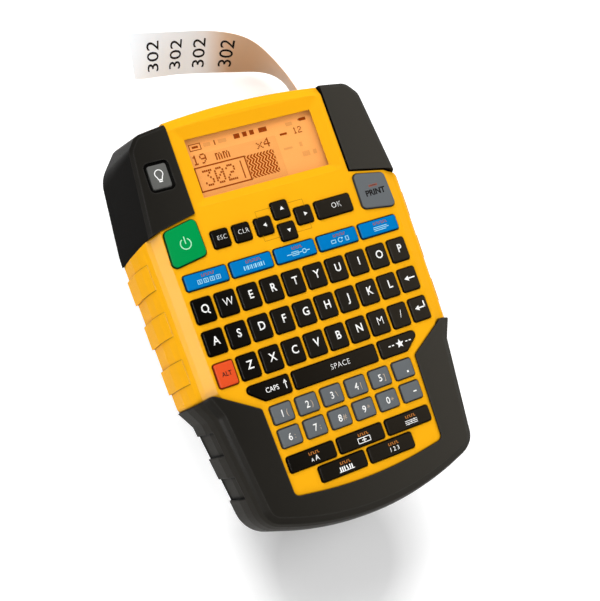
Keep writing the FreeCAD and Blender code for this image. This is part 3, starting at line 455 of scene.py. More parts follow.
def cell_wrap(shade):
    """Shrink-wrapped cell: dark jacket with a copper-coloured band at one end."""
    sheet = Sheet()
    low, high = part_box("battery_cells")
    band = sheet.axis(1) > high.y - (high.y - low.y) * 0.27
    speckle = sheet.noise(1400, 2)
    tint = sheet.blend(band, linear(shade), linear((0.76, 0.48, 0.25)))
    return sheet.finish(Base_Color=tint, Metallic=band * 0.6, Roughness=speckle * 0.1 + 0.28,
                        Normal=sheet.relief(speckle, 0.004 * MM))


finishes = {}


def make_finishes():
    """All finishes, the frame's slots by their own names."""
    shade = bpy.context.scene.label_maker_colours
    pale = [part * 0.95 for part in shade.display]
    finishes.update({
        # The casing gets painted shade in its creases.
        "yellow_casing": moulded(shade.yellow, 0.26, 0.012, edge_wear_and_highlight=0.35, edge=0.5 * MM, spread=0.03,
                                 painted_crease_shade=0.7 * MM),
        # The bumpers get a painted sheen, painted light and painted shade.
        "black_rubber": rubbery(shade.rubber, edge=0.9 * MM, painted_shading=0.8),
        "rear_casing": moulded(shade.rear, 0.5),
        "window": clear_window(),
        "display": lit_display(shade.display),
        # The keys' walls get painted shade, and the black keys also get a painted sheen to the right.
        "green_key": moulded(shade.green, 0.45, 0.012, edge_wear_and_highlight=0.1, painted_shading=0.85),
        "blue_key": moulded(shade.blue, 0.45, 0.012, edge_wear_and_highlight=0.1, painted_shading=0.85),
        "orange_key": moulded(shade.orange, 0.45, 0.012, edge_wear_and_highlight=0.1, painted_shading=0.7),
        "grey_key": moulded(shade.grey, 0.45, 0.012, edge_wear_and_highlight=0.1, painted_shading=0.6),
        "dark_grey_key": moulded(shade.dark_grey, 0.5, 0.01, edge_wear_and_highlight=0.4),
        "black_key": moulded(shade.black, 0.34, 0.008, edge_wear_and_highlight=0.06, painted_shading=0.6, painted_sheen=17.0),
        "label": label_stock(shade.label),
        "circuit_board": board(),
        "keypad_rubber": rubbery((0.275, 0.282, 0.29)),
        "mechanism_plastic": moulded((0.235, 0.235, 0.243), 0.5),
        "gear_plastic": moulded((0.922, 0.91, 0.871), 0.45, edge_wear_and_highlight=0.05),
        "cassette_plastic": moulded((0.157, 0.157, 0.165), 0.35),
        "ribbon_film": moulded((0.094, 0.094, 0.102), 0.22, 0.4),
        "steel": metal((0.745, 0.745, 0.753)),
        "platen_rubber": rubbery((0.157, 0.157, 0.157), 0.7),
        "cell_jacket": cell_wrap((0.118, 0.118, 0.125)),
        "foot_rubber": rubbery((0.098, 0.098, 0.098), 0.75),
        "white_ink": inked(shade.white_ink, 0.08),
        "display_ink": inked(shade.display_ink, 0.05),
        "display_shade": inked(pale, 0.12),
        "display_faint": inked([part * 0.91 for part in shade.display], 0.12),
        "display_hatch": hatched(pale, shade.display_ink),
        # Painted groove shade: a darker line for the fine groove round the arrow keys.
        "engraving": inked([part * 0.86 for part in shade.yellow]),
    })
    for ink in ("green_ink", "blue_ink", "orange_ink", "rust_ink", "tan_ink", "dark_ink"):
        finishes[ink] = inked(getattr(shade, ink))
    for slot, material in finishes.items():
        material.name = slot + "_finish"


# ---- Bench work: one tool for each hand movement ----

def clear_hands():
    """Nothing selected, object mode."""
    if bpy.context.object and bpy.context.object.mode != "OBJECT":
        bpy.ops.object.mode_set(mode="OBJECT")
    bpy.ops.object.select_all(action="DESELECT")


def pick(*things):
    """Only these selected, the first one active."""
    clear_hands()
    for thing in things:
        thing.select_set(True)
    bpy.context.view_layer.objects.active = things[0]


@contextlib.contextmanager
def editing(thing, chosen="SELECT"):
    """Edit mode on one piece, begun with all or nothing selected, or with the selection it has."""
    pick(thing)
    bpy.ops.object.mode_set(mode="EDIT")
    if chosen:
        bpy.ops.mesh.select_all(action=chosen)
    yield
    bpy.ops.object.mode_set(mode="OBJECT")


def settle(thing):
    """The object's place goes into its mesh."""
    pick(thing)
    bpy.ops.object.transform_apply(location=True, rotation=True, scale=True)
    return thing


def gathered(name, things):
    """Several pieces joined into one, with its own name."""
    pick(*things)
    if len(things) > 1:
        bpy.ops.object.join()
    made = bpy.context.object
    made.name = made.data.name = name
    return made


def dress(thing, finish):
    """One finish all over."""
    thing.data.materials.clear()
    thing.data.materials.append(finishes[finish])
    return thing


def thickened(thing, depth):
    """A flat print gets the thickness of its ink, upwards."""
    pick(thing)
    layer = thing.modifiers.new("ink", "SOLIDIFY")
    layer.thickness, layer.offset = depth, 1.0
    bpy.ops.object.modifier_apply(modifier=layer.name)


def face_up(thing):
    """Flat faces all look up."""
    with editing(thing):
        bpy.ops.mesh.normals_make_consistent(inside=False)
    if sum(face.normal.z * face.area for face in thing.data.polygons) < 0:
        with editing(thing):
            bpy.ops.mesh.flip_normals()


def written(words, height, x, y, bold=0.0, narrow=0.88, spacing=1.0):
    """Flat lettering of one capital height about a middle point, at z 0."""
    clear_hands()
    bpy.ops.object.text_add(location=(0, 0, 0))
    made = bpy.context.object
    made.data.body = words
    made.data.size = height * MM / CAPITAL
    made.data.align_x, made.data.align_y = "CENTER", "CENTER"
    made.data.offset = bold * MM
    made.data.resolution_u = 3
    made.data.space_character = spacing
    pick(made)
    bpy.ops.object.convert(target="MESH")
    made = bpy.context.object
    made.location = (x * MM, y * MM, 0)
    made.scale = (narrow, 1, 1)
    return settle(made)


def stroke(x, y, width, height, turn=0.0):
    """Flat rectangular mark."""
    clear_hands()
    bpy.ops.mesh.primitive_plane_add(size=1, location=(x * MM, y * MM, 0),
                                     rotation=(0, 0, math.radians(turn)))
    made = bpy.context.object
    made.scale = (width * MM, height * MM, 1)
    return settle(made)


def wedge(x, y, radius, turn=0.0, corners=3):
    """Flat triangle or other regular mark, its first corner pointing up before the turn."""
    clear_hands()
    bpy.ops.mesh.primitive_circle_add(vertices=corners, radius=radius * MM, fill_type="NGON",
                                      location=(x * MM, y * MM, 0), rotation=(0, 0, math.radians(turn)))
    return settle(bpy.context.object)


def star(x, y, radius):
    """Flat five-pointed star."""
    made = wedge(0, 0, radius, corners=10)
    with editing(made, "DESELECT"):
        bpy.ops.mesh.select_mode(type="VERT")
    for corner in made.data.vertices:
        corner.select = corner.index % 2 == 1
    with editing(made, None):
        bpy.ops.transform.resize(value=(0.45, 0.45, 1))
    made.location = (x * MM, y * MM, 0)
    return settle(made)


def loop_mark(x, y, radius, width, gap=0.0, gap_middle=90.0):
    """Flat ring, with a gap of some degrees about a direction."""
    clear_hands()
    bpy.ops.mesh.primitive_circle_add(vertices=36, radius=(radius + width / 2) * MM, location=(0, 0, 0))
    made = bpy.context.object
    inner = (radius - width / 2) / (radius + width / 2)
    with editing(made):
        bpy.ops.mesh.extrude_edges_move()
        bpy.ops.transform.resize(value=(inner, inner, 1))
        bpy.ops.mesh.select_all(action="DESELECT")
    if gap:
        for face in made.data.polygons:
            away = (math.degrees(math.atan2(face.center.y, face.center.x)) - gap_middle + 180) % 360 - 180
            face.select = abs(away) < gap / 2
        with editing(made, None):
            bpy.ops.mesh.delete(type="FACE")
    made.location = (x * MM, y * MM, 0)
    settle(made)
    face_up(made)
    return made


def print_on(name, marks, finish, body, top):
    """Joins flat marks, lifts them to a height, gives them ink and lets them ride on a body."""
    made = gathered(name, marks)
    face_up(made)
    thickened(made, bpy.context.scene.label_maker_sizes.ink_thickness + SINK * MM)
    made.location = (0, 0, (top - SINK) * MM)
    settle(made)
    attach(dress(made, finish), body)


def legend(node, marks, finish="white_ink", ending="_legend"):
    """Prints marks on the tops of one node's keys."""
    print_on(node + ending, marks, finish, node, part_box(node)[1].z / MM)


def middle(node):
    """Middle of a node from above."""
    low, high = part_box(node)
    return (low.x + high.x) / 2 / MM, (low.y + high.y) / 2 / MM


def row(node, count, pitch):
    """Middles of the keys of a row, from left to right, the pitch in metres."""
    x, y = middle(node)
    return [(x + (place - (count - 1) / 2) * pitch / MM, y) for place in range(count)]


# ---- Pictograms, each about a middle point ----

def bars(x, y, *places, tall=1.7):
    """Upright strokes, each with its distance to the right and its width."""
    return [stroke(x + place, y, width, tall) for place, width in places]


def levels(x, y, *places, thick=0.3):
    """Level strokes, each with its distance to the right, its height and its length."""
    return [stroke(x + place, y + height, long, thick) for place, height, long in places]


def outlined(x, y, wide, tall):
    """Frame of thin strokes."""
    return (levels(x, y, (0, -tall / 2, wide + 0.3), (0, tall / 2, wide + 0.3))
            + bars(x, y, (-wide / 2, 0.3), (wide / 2, 0.3), tall=tall))


def small_marks(x, y, count):
    """Row of fine upright strokes tied by short dashes, as a faint second legend."""
    places = [(place - (count - 1) / 2) * 0.95 for place in range(count)]
    dashes = [(place + 0.3, 0.42 if number % 2 else -0.42, 0.6) for number, place in enumerate(places)]
    return bars(x, y, *[(place, 0.32) for place in places], tall=1.15) + levels(x, y, *dashes)


def boxes(x, y):
    """Four small frames with a bar in each."""
    places = (-3.9, -1.3, 1.3, 3.9)
    return ([mark for place in places for mark in outlined(x + place, y, 1.7, 1.5)]
            + bars(x, y, *[(place, 0.4) for place in places], tall=0.8))


def stripes(x, y):
    """Row of wide and narrow bars."""
    return bars(x, y, (-4.3, 0.45), (-3.4, 0.25), (-2.7, 0.6), (-1.8, 0.25), (-1.1, 0.45), (-0.2, 0.25),
                (0.6, 0.6), (1.5, 0.25), (2.2, 0.45), (3.1, 0.6), (4.2, 0.3))


def plugged_cable(x, y):
    """Cable with a sleeve and an eye."""
    return (levels(x, y, (-1.6, 0, 6.6), (4.6, 0, 1.4), thick=0.35) + outlined(x - 1.2, y, 2.8, 1.4)
            + [loop_mark(x + 2.9, y, 0.8, 0.32)])


def turned_box(x, y):
    """Frame that turns upright round an arrow."""
    return (outlined(x - 3.1, y, 1.9, 1.2) + outlined(x + 3.2, y, 1.2, 1.7)
            + [loop_mark(x, y + 0.05, 0.9, 0.32, 80, 20), wedge(x + 0.95, y + 0.65, 0.6, 160)])


def written_lines(x, y):
    """Three lines of unequal length."""
    return levels(x, y, (-0.6, -0.7, 5.6), (0, 0, 7.2), (-0.3, 0.7, 6.4))


def two_sizes(x, y):
    """A small and a large letter."""
    return [written("A", 1.4, x - 1.2, y - 0.3, 0.02), written("A", 2.1, x + 0.9, y, 0.03)]


def framed_plus(x, y):
    """Plus sign in a frame."""
    return [stroke(x, y, 1.9, 0.4), stroke(x, y, 0.4, 1.9)] + outlined(x, y, 5.4, 2.0)


def sliders(x, y):
    """Three rails with a knob on each."""
    steps = (-1, 0, 1)
    return (levels(x, y, *[(0, step * 0.7, 5.6) for step in steps], thick=0.25)
            + levels(x, y, *[(step * 1.5, step * 0.7, 0.5) for step in steps], thick=0.62))


def shelf(x, y):
    """Books on a shelf, one of them leaning."""
    return (bars(x, y + 0.1, (-2.6, 0.5), (-1.7, 0.5), (-0.8, 0.5), (1.6, 0.5), (2.5, 0.5))
            + [stroke(x + 0.4, y + 0.1, 0.5, 1.7, 16), stroke(x, y - 0.95, 6.6, 0.3)])


def series(x, y):
    """Numbers that count up."""
    return [written("1 2 3", 1.8, x, y, 0.02)]


# ---- Pieces ----

frame_slots = {name: node.material_slots[0].material.name.split(".")[0]
               for name, node in frame["nodes"].items()}
KEYS = [name for name in frame["nodes"] if "_key" in name]
SHARP_KEYS = ("power_key", "print_key", "backlight_key")


class Undoable:
    """What all the operators share"""
    bl_options = {"REGISTER", "UNDO"}


class LABELMAKER_OT_frame_finishes(Undoable, bpy.types.Operator):
    """Give every carried-over piece of the frame its finish"""
    bl_idname = "label_maker.frame_finishes"
    bl_label = "Frame finishes"

    def execute(self, context):
        make_finishes()
        for name, node in frame["nodes"].items():
            node.material_slots[0].material = finishes[frame_slots[name]]
        clear_hands()
        return {"FINISHED"}


class LABELMAKER_OT_key_caps(Undoable, bpy.types.Operator):
    """Round the top edges of all key caps"""
    bl_idname = "label_maker.key_caps"
    bl_label = "Key caps"

    def execute(self, context):
        for name in KEYS:
            source = frame["nodes"][name]
            body = source["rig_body"]
            cap = bpy.data.objects.new(name + "_cap", source.data.copy())
            bpy.context.scene.collection.objects.link(cap)
            with editing(cap):
                bpy.ops.mesh.remove_doubles(threshold=0.002 * MM)
                bpy.ops.mesh.dissolve_limited(angle_limit=math.radians(1))
                bpy.ops.mesh.customdata_custom_splitnormals_clear()
                bpy.ops.mesh.select_all(action="DESELECT")
            top = max(corner.co.z for corner in cap.data.vertices) - 0.01 * MM
            for edge in cap.data.edges:
                edge.select = all(cap.data.vertices[end].co.z > top for end in edge.vertices)
            rounding = context.scene.label_maker_sizes.cap_edge * (0.6 if name in SHARP_KEYS else 1)
            with editing(cap, None):
                bpy.ops.mesh.select_mode(type="EDGE")
                bpy.ops.mesh.bevel(offset=rounding, segments=4, profile=0.5, affect="EDGES",
                                   clamp_overlap=True)
            bpy.ops.object.shade_smooth_by_angle(angle=math.radians(32))
            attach(cap, body)
            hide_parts(name)
        clear_hands()
        return {"FINISHED"}


class LABELMAKER_OT_letter_legends(Undoable, bpy.types.Operator):
    """Print the letters and words on the black keys"""
    bl_idname = "label_maker.letter_legends"
    bl_label = "Letter legends"

    def execute(self, context):
        sizes = context.scene.label_maker_sizes
        tall, word = sizes.letter_height / MM, sizes.word_height / MM
        for node, letters in (("letter_keys_upper", "QWERTYUIOP"), ("letter_keys_middle", "ASDFGHJKL"),
                              ("letter_keys_lower", "ZXCVBNM/")):
            places = row(node, 9 if node == "letter_keys_lower" else 10, sizes.letter_pitch)
            marks = [written(letter, tall, x + 0.5, y + 0.3, -0.04 if letter in "MW/" else 0.08)
                     for letter, (x, y) in zip(letters, places)]
            if node == "letter_keys_upper":
                x, y = places[0]
                marks.append(stroke(x + 1.5, y - 1.2, 1.7, 0.5, -42))
            else:
                x, y = places[-1]
                marks += [stroke(x + 1.0, y + 0.4, 3.2, 0.55), wedge(x - 1.0, y + 0.4, 1.3, 90)]
            if node == "letter_keys_lower":
                marks.append(stroke(x + 2.35, y + 1.5, 0.55, 2.6))
            legend(node, marks, ending="_legends")
        for node, words, shift, height in (("escape_key", "ESC", 0.5, 0.93), ("clear_key", "CLR", 0.5, 0.96),
                                           ("ok_key", "OK", 1.0, 1.15), ("space_key", "SPACE", 2.0, 1.1)):
            x, y = middle(node)
            legend(node, [written(words, word * height, x + shift, y + 0.2, -0.04, 0.9, 1.12)])
        x, y = middle("caps_key")
        legend("caps_key", [written("CAPS", word, x + 0.9, y - 0.1, 0.03, 0.84),
                            stroke(x + 6.7, y - 0.2, 0.4, 2.9), wedge(x + 6.7, y + 1.2, 0.95)])
        x, y = middle("favourites_key")
        legend("favourites_key", [star(x + 0.5, y + 0.2, 1.9)] + [
            stroke(x + 0.5 + place, y + 0.3, 1.0, 0.45) for place in (-4.8, -3.2, 3.2, 4.8)])
        x, y = middle("shift_key")
        legend("shift_key", [written("ALT", word * 0.92, x + 0.3, y, 0.02)], "dark_ink")
        clear_hands()
        return {"FINISHED"}


class LABELMAKER_OT_arrow_legends(Undoable, bpy.types.Operator):
    """Print the arrows and pictograms on the control keys"""
    bl_idname = "label_maker.arrow_legends"
    bl_label = "Arrows and pictograms"

    def execute(self, context):
        for number, way in enumerate(("up", "left", "down", "right")):
            node = way + "_arrow_key"
            x, y = middle(node)
            legend(node, [wedge(x + 0.5, y + 0.3, 0.98, number * 90)])
        x, y = middle("power_key")
        legend("power_key", [loop_mark(x + 0.3, y - 0.3, 2.16, 0.42, 60),
                             stroke(x + 0.3, y + 1.2, 0.42, 3.0)], "green_ink")
        x, y = middle("backlight_key")
        neck = [stroke(x + side, y - 0.6, 0.38, 1.3, side * -20) for side in (-1, 1)]
        base = levels(x, y, (0, -1.45, 1.7), (0, -2.15, 1.5), thick=0.5)
        legend("backlight_key", [loop_mark(x, y + 1.0, 1.65, 0.38, 100, -90)] + neck + base)
        x, y = middle("print_key")
        legend("print_key", [written("PRINT", 2.5, x + 0.2, y - 1.0, 0.12, 0.97)], "dark_ink")
        ticks = bars(x, y + 2.0, *[(place, 0.55) for place in (-1.6, -0.75, 0.1, 0.95, 1.8)], tall=1.1)
        legend("print_key", ticks + [stroke(x + 0.1, y + 2.0, 3.4, 0.35)], "rust_ink", "_second_legend")
        clear_hands()
        return {"FINISHED"}


class LABELMAKER_OT_setting_legends(Undoable, bpy.types.Operator):
    """Print plain pictograms on the blue and the wide black keys"""
    bl_idname = "label_maker.setting_legends"
    bl_label = "Setting and function legends"

    def execute(self, context):
        pitch = context.scene.label_maker_sizes.function_pitch
        for number, sign in enumerate((boxes, stripes, plugged_cable, turned_box, written_lines), 1):
            node = f"setting_key_{number}"
            x, y = middle(node)
            legend(node, sign(x + 0.8, y - 0.8), "blue_ink")
            legend(node, small_marks(x + 0.8, y + 1.5, 5 + number % 3), "rust_ink", "_second_legend")
        for node, signs in (("function_keys_upper", (two_sizes, framed_plus, sliders)),
                            ("function_keys_lower", (shelf, series))):
            first, second = [], []
            for sign, (x, y) in zip(signs, row(node, len(signs), pitch)):
                first += sign(x + 0.9, y - 0.9)
                second += small_marks(x + 0.9, y + 1.4, 5)
            legend(node, first, ending="_legends")
            legend(node, second, "orange_ink", "_second_legends")
        clear_hands()
        return {"FINISHED"}


class LABELMAKER_OT_digit_legends(Undoable, bpy.types.Operator):
    """Print the digits and signs on the grey keys"""
    bl_idname = "label_maker.digit_legends"
    bl_label = "Digit legends"

    def execute(self, context):
        sizes = context.scene.label_maker_sizes
        tall = sizes.digit_height / MM
        for node, digits, signs, (drop, wide, thick) in (
                ("digit_keys_upper", "12345", "()\\|]", (1.4, 0.8, 0.8)),
                ("digit_keys_lower", "67890", ":;#*+", (0.3, 1.5, 0.5))):
            places = row(node, 6, sizes.digit_pitch)
            first = [written(digit, tall, x - 0.2, y - 0.3, 0.05) for digit, (x, y) in zip(digits, places)]
            x, y = places[-1]
            first.append(stroke(x + 1.4, y - drop, wide, thick))
            second = [written(sign, tall * 0.8, x + 1.8, y - 0.3, 0.03)
                      for sign, (x, y) in zip(signs, places)]
            legend(node, first, ending="_legends")
            legend(node, second, "tan_ink", "_second_legends")
        clear_hands()
        return {"FINISHED"}


CELLS = {
    "0": "01110 10001 10011 10101 11001 10001 01110",
    "1": "00100 01100 00100 00100 00100 00100 01110",
    "2": "01110 10001 00001 00110 01000 10000 11111",
    "3": "11111 00010 00100 00010 00001 10001 01110",
    "4": "00010 00110 01010 10010 11111 00010 00010",
    "9": "01110 10001 10001 01111 00001 00010 01100",
    "m": "00000 00000 11010 10101 10101 10101 10101",
    "x": "00000 00000 10001 01010 00100 01010 10001",
    " ": "",
}


def cells(words, x, y, wide, tall, fill=0.95):
    """Dot-matrix characters from a lower left corner, one mark for each cell."""
    places = [(x + (place * 6 + column + 0.5) * wide, y + (line + 0.5) * tall)
              for place, character in enumerate(words)
              for line, pattern in enumerate(reversed(CELLS[character].split()))
              for column, on in enumerate(pattern) if on == "1"]
    first_x, first_y = places[0]
    first = stroke(first_x, first_y, wide * fill, tall * fill)
    copies = [first]
    for copy_x, copy_y in places[1:]:
        copy = first.copy()
        copy.data = first.data.copy()
        bpy.context.scene.collection.objects.link(copy)
        copy.location = ((copy_x - first_x) * MM, (copy_y - first_y) * MM, 0)
        copies.append(copy)
    pick(*copies)
    bpy.ops.object.transform_apply(location=True, rotation=False, scale=False)
    return copies


class LABELMAKER_OT_display_image(Undoable, bpy.types.Operator):
    """Draw the display's plain picture: a framed number, a hatched block and rows of marks"""
    bl_idname = "label_maker.display_image"
    bl_label = "Display image"

    def execute(self, context):
        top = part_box("lcd_module")[1].z / MM
        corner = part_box("screen_window")[0]
        left, bottom = corner.x / MM + 2, corner.y / MM + 2

        def blocks(*places):
            """Rectangles, each with its middle, width and height."""
            return [stroke(left + x, bottom + y, wide, tall) for x, y, wide, tall in places]

        print_on("display_shade", blocks((19.8, 9.6, 38.0, 17.6)), "display_shade", "casing", top)
        print_on("display_hatch", blocks((29.6, 8.0, 12.6, 10.0)), "display_hatch", "casing", top + LAYER)
        number_frame = blocks((11.8, 13.0, 22.6, 0.55), (11.8, 2.9, 22.6, 0.55), (0.8, 7.95, 0.55, 10.6),
                              (22.8, 7.95, 0.55, 10.6), (20.4, 7.9, 0.45, 7.6))
        cell_sign = blocks((1.6, 21.6, 0.3, 2.6), (6.4, 21.6, 0.3, 2.6), (4.0, 20.3, 5.1, 0.3),
                           (4.0, 22.9, 5.1, 0.3), (4.0, 21.6, 2.6, 0.9))
        signs = blocks((12.6, 21.6, 0.5, 2.0), (22.6, 22.0, 2.6, 2.0), (26.2, 22.0, 1.9, 2.0),
                       (29.4, 22.0, 1.9, 2.0), (34.4, 22.0, 3.6, 2.0), (53.0, 22.4, 3.0, 1.3),
                       (51.2, 22.4, 0.5, 0.7), (42.6, 18.0, 3.2, 0.9))
        characters = (cells("302", left + 3.4, bottom + 4.5, 0.82, 1.0, 0.8)
                      + cells("19 mm", left + 1.0, bottom + 14.2, 0.56, 0.6)
                      + cells("x4", left + 29.5, bottom + 14.4, 0.56, 0.55)
                      + cells("12", left + 47.2, bottom + 16.9, 0.36, 0.4))
        print_on("display_marks", number_frame + cell_sign + signs + characters, "display_ink", "casing",
                 top + 2 * LAYER)
        faint = blocks((9.2, 21.6, 3.0, 1.6), (16.0, 21.6, 3.6, 1.6), (46.4, 21.6, 3.0, 1.6),
                       (42.6, 11.6, 4.0, 0.9), (48.6, 12.0, 1.3, 2.0), (49.6, 7.6, 3.4, 2.2),
                       (53.6, 7.6, 1.6, 2.0))
        print_on("display_faint_marks", faint, "display_faint", "casing", top + 2 * LAYER)
        clear_hands()
        return {"FINISHED"}


class LABELMAKER_OT_casing_lines(Undoable, bpy.types.Operator):
    """Draw the fine line that frames the arrow keys"""
    bl_idname = "label_maker.casing_lines"
    bl_label = "Casing lines"

    def execute(self, context):
        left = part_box("left_arrow_key")[0].x / MM + 2.6
        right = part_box("right_arrow_key")[1].x / MM - 2.6
        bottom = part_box("down_arrow_key")[0].y / MM + 2.8
        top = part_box("up_arrow_key")[1].y / MM - 2.2
        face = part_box("space_key")[1].z / MM - 1.1
        marks = [stroke((left + right) / 2, y, right - left, 0.22) for y in (bottom, top)]
        marks += [stroke(x, (bottom + top) / 2, 0.22, top - bottom) for x in (left, right)]
        # The darker line is painted groove shade.
        print_on("arrow_frame_line", marks, "engraving", "casing", face)
        clear_hands()
        return {"FINISHED"}


class LABELMAKER_OT_strip_print(Undoable, bpy.types.Operator):
    """Print plain numbers along the label strip"""
    bl_idname = "label_maker.strip_print"
    bl_label = "Strip print"

    def execute(self, context):
        sizes = context.scene.label_maker_sizes
        for number in range(4):
            from_end = STRIP_MARGIN * MM + number * sizes.strip_print_pitch
            point, ahead, across = strip_place(STRIP_LENGTH * MM - from_end)
            mark = written("302", sizes.strip_print_height / MM, 0, 0, 0.03, 1.0)
            with editing(mark):
                bpy.ops.mesh.quads_convert_to_tris()
                bpy.ops.mesh.subdivide(number_cuts=3)
            facing = across.cross(ahead)
            mark.matrix_world = Matrix.Translation(point + facing * 1.5 * MM) @ Matrix(
                (across, ahead, facing)).transposed().to_4x4()
            wrap = mark.modifiers.new("lay", "SHRINKWRAP")
            wrap.target = frame["nodes"]["label_tape"]
            wrap.wrap_method, wrap.wrap_mode, wrap.offset = "PROJECT", "ABOVE_SURFACE", 0.02 * MM
            wrap.use_project_z, wrap.use_negative_direction, wrap.use_positive_direction = True, True, False
            bpy.ops.object.modifier_apply(modifier=wrap.name)
            thickened(settle(mark), 0.02 * MM)
            mark.name = mark.data.name = f"strip_print_{number + 1}"
            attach(dress(mark, "dark_ink"), "casing")
        clear_hands()
        return {"FINISHED"}


def strip_place(distance):
    """Point, direction ahead and direction across of the strip, some metres from the casing.

    Bend and twist say how many radians the frame's strip turns for each metre of its length, at
    even steps from the casing to its cut end.
    """
    bend, twist = (43.7, 34.6, 29.3, 7.3, -17.5), (-42.8, 48.5, -5.1, 28.1)
    lean, rise, steps = math.radians(17.4), math.radians(1.8), 120
    point = Vector((37.2, 88.0, 14.0)) * MM
    ahead = Vector((math.sin(lean) * math.cos(rise), math.cos(lean) * math.cos(rise), math.sin(rise)))
    across = (Vector((0, 0, 1)) - ahead * ahead.z).normalized()

    def between(values, share):
        place = share * (len(values) - 1)
        low = min(int(place), len(values) - 2)
        return values[low] + (values[low + 1] - values[low]) * (place - low)

    step = STRIP_LENGTH * MM / steps
    for number in range(round(distance / step)):
        share = number / steps
        turn = across * (between(bend, share) * step) + ahead * (between(twist, share) * step)
        new_ahead = ahead.copy()
        new_ahead.rotate(Matrix.Rotation(turn.length, 3, turn))
        across.rotate(Matrix.Rotation(turn.length, 3, turn))
        point += (ahead + new_ahead) * (step / 2)
        ahead = new_ahead
    return point, ahead, across


# ---- Stage ----

CAMERA_PLACE = Vector((-147.54, -28.84, 423.45)) * MM
CAMERA_RIGHT = Vector((0.89105, -0.33109, 0.31049))
CAMERA_UP = Vector((0.28497, 0.94050, 0.18509))


def floor_finish(stage):
    """Pale matt floor that takes shadows; camera, gloss and glass also see it glow, white far away and dimmer
    in a painted shadow below the object.
    """
    sheet = Sheet("floor_finish")
    tint = sheet.blend(sheet.noise(30, 2), (0.79, 0.79, 0.79, 1), (0.81, 0.81, 0.81, 1))
    matt = sheet.node("ShaderNodeBsdfPrincipled", {},
                      {"Base Color": tint, "Roughness": 0.9, "Specular IOR Level": 0.1})
    far = ((sheet.away((0, 0, 0)) - 0.35) * 1.2).held()
    # Painted shadow: a patch below the object where the floor glows less.
    beside = ((sheet.away((-0.012, -0.107, 0)) - 0.026) * 36).held()
    shade = sheet.blend(beside, (stage.painted_shadow_glow,) * 3 + (1,), (stage.floor_glow,) * 3 + (1,))
    shade = sheet.blend(far, shade, WHITE)
    glow = sheet.node("ShaderNodeEmission", {}, {"Color": shade, "Strength": 1.0})
    glowing = sheet.node("ShaderNodeAddShader", {}, {0: matt.outputs[0], 1: glow.outputs[0]})
    rays = sheet.node("ShaderNodeLightPath")
    seen = (Amount(sheet, rays.outputs["Is Camera Ray"]) + Amount(sheet, rays.outputs["Is Glossy Ray"])
            + Amount(sheet, rays.outputs["Is Transmission Ray"])).held()
    return sheet.mixed(seen, matt, glowing, "ShaderNodeOutputMaterial")


def studio(stage):
    """White surroundings that light the object with only a part of their strength."""
    sheet = Sheet("studio", surroundings=True)
    fill, white = [sheet.node("ShaderNodeBackground", {}, {"Color": WHITE, "Strength": level})
                   for level in (stage.fill, 1.0)]
    seen = 1 - Amount(sheet, sheet.node("ShaderNodeLightPath").outputs["Is Diffuse Ray"])
    return sheet.mixed(seen, fill, white, "ShaderNodeOutputWorld")


def add_lamp(name, place, aim, size, watts, glossy=True, diffuse=True):
    """Square soft lamp that shines at a point, seen by glossy or diffuse surfaces or both."""
    bpy.ops.object.light_add(type="AREA", location=place)
    lamp = bpy.context.object
    lamp.name = name
    lamp.data.shape, lamp.data.size, lamp.data.energy = "SQUARE", size, watts
    lamp.visible_glossy, lamp.visible_diffuse = glossy, diffuse
    lamp.rotation_euler = (Vector(aim) - Vector(place)).to_track_quat("-Z", "Y").to_euler()


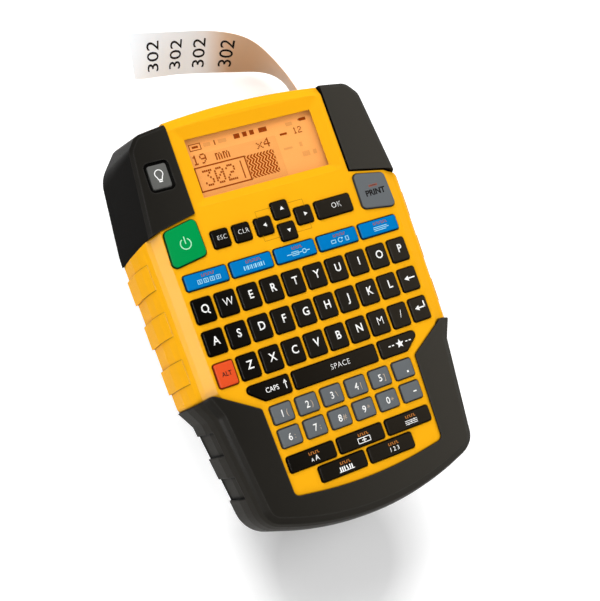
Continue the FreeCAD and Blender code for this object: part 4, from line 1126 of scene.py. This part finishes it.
class LABELMAKER_OT_stage(Undoable, bpy.types.Operator):
    """Set the floor, the lamps and the camera"""
    bl_idname = "label_maker.stage"
    bl_label = "Stage"

    def execute(self, context):
        scene = context.scene
        stage = scene.label_maker_stage
        clear_hands()
        bpy.ops.mesh.primitive_plane_add(size=6, location=(0, 0, -0.1 * MM))
        floor = bpy.context.object
        floor.name = "floor"
        settle(floor)
        floor.data.materials.append(floor_finish(stage))
        scene.world = studio(stage)
        add_lamp("main_lamp", (-0.12, 0.9, 0.7), (0, 0, 0), 0.8, stage.lamp)
        add_lamp("low_lamp", (-0.52, -0.68, 0.33), (0, 0, 0.02), 0.5, stage.low, glossy=False)
        add_lamp("rim_lamp", (-0.62, 0.06, 0.57), (-0.05, 0.01, 0.045), 0.38, stage.rim, diffuse=False)
        add_lamp("side_lamp", (0.7, -0.02, 0.55), (0, 0, 0.03), 0.5, stage.side, glossy=False)

        view = bpy.data.cameras.new("camera")
        view.lens, view.sensor_width, view.sensor_fit = stage.lens, 36, "AUTO"
        view.clip_start, view.clip_end = 0.01, 10
        camera = bpy.data.objects.new("camera", view)
        scene.collection.objects.link(camera)
        camera.matrix_world = Matrix.Translation(CAMERA_PLACE) @ Matrix(
            (CAMERA_RIGHT, CAMERA_UP, CAMERA_RIGHT.cross(CAMERA_UP))).transposed().to_4x4()
        scene.camera = camera
        scene.view_settings.view_transform = "Standard"
        clear_hands()
        return {"FINISHED"}


class LABELMAKER_PT_panel(bpy.types.Panel):
    """Sizes, colours and pieces of the label maker"""
    bl_idname = "LABELMAKER_PT_panel"
    bl_label = "Label Maker"
    bl_space_type = "VIEW_3D"
    bl_region_type = "UI"
    bl_category = "Label Maker"

    def draw(self, context):
        column = self.layout.column(align=True)
        for piece in PIECES:
            column.operator(piece.bl_idname)
        for group in GROUPS:
            values = getattr(context.scene, group)
            box = self.layout.box()
            for name in values.__annotations__:
                box.prop(values, name)


PIECES = (LABELMAKER_OT_frame_finishes, LABELMAKER_OT_key_caps, LABELMAKER_OT_letter_legends,
          LABELMAKER_OT_arrow_legends, LABELMAKER_OT_setting_legends, LABELMAKER_OT_digit_legends,
          LABELMAKER_OT_display_image, LABELMAKER_OT_casing_lines, LABELMAKER_OT_strip_print,
          LABELMAKER_OT_stage)
GROUPS = {"label_maker_sizes": LABELMAKER_PG_sizes, "label_maker_colours": LABELMAKER_PG_colours,
          "label_maker_stage": LABELMAKER_PG_stage}


def register():
    for kind in (*GROUPS.values(), *PIECES, LABELMAKER_PT_panel):
        bpy.utils.register_class(kind)
    for name, kind in GROUPS.items():
        setattr(bpy.types.Scene, name, bpy.props.PointerProperty(type=kind))


def unregister():
    for name in GROUPS:
        delattr(bpy.types.Scene, name)
    for kind in (LABELMAKER_PT_panel, *reversed(PIECES), *reversed(tuple(GROUPS.values()))):
        bpy.utils.unregister_class(kind)


def main():
    register()
    for name in ("Cube", "Light", "Camera"):
        if name in bpy.data.objects:
            bpy.data.objects.remove(bpy.data.objects[name])
    for piece in PIECES:
        group, name = piece.bl_idname.split(".")
        getattr(getattr(bpy.ops, group), name)()


if __name__ == "__main__":
    main()
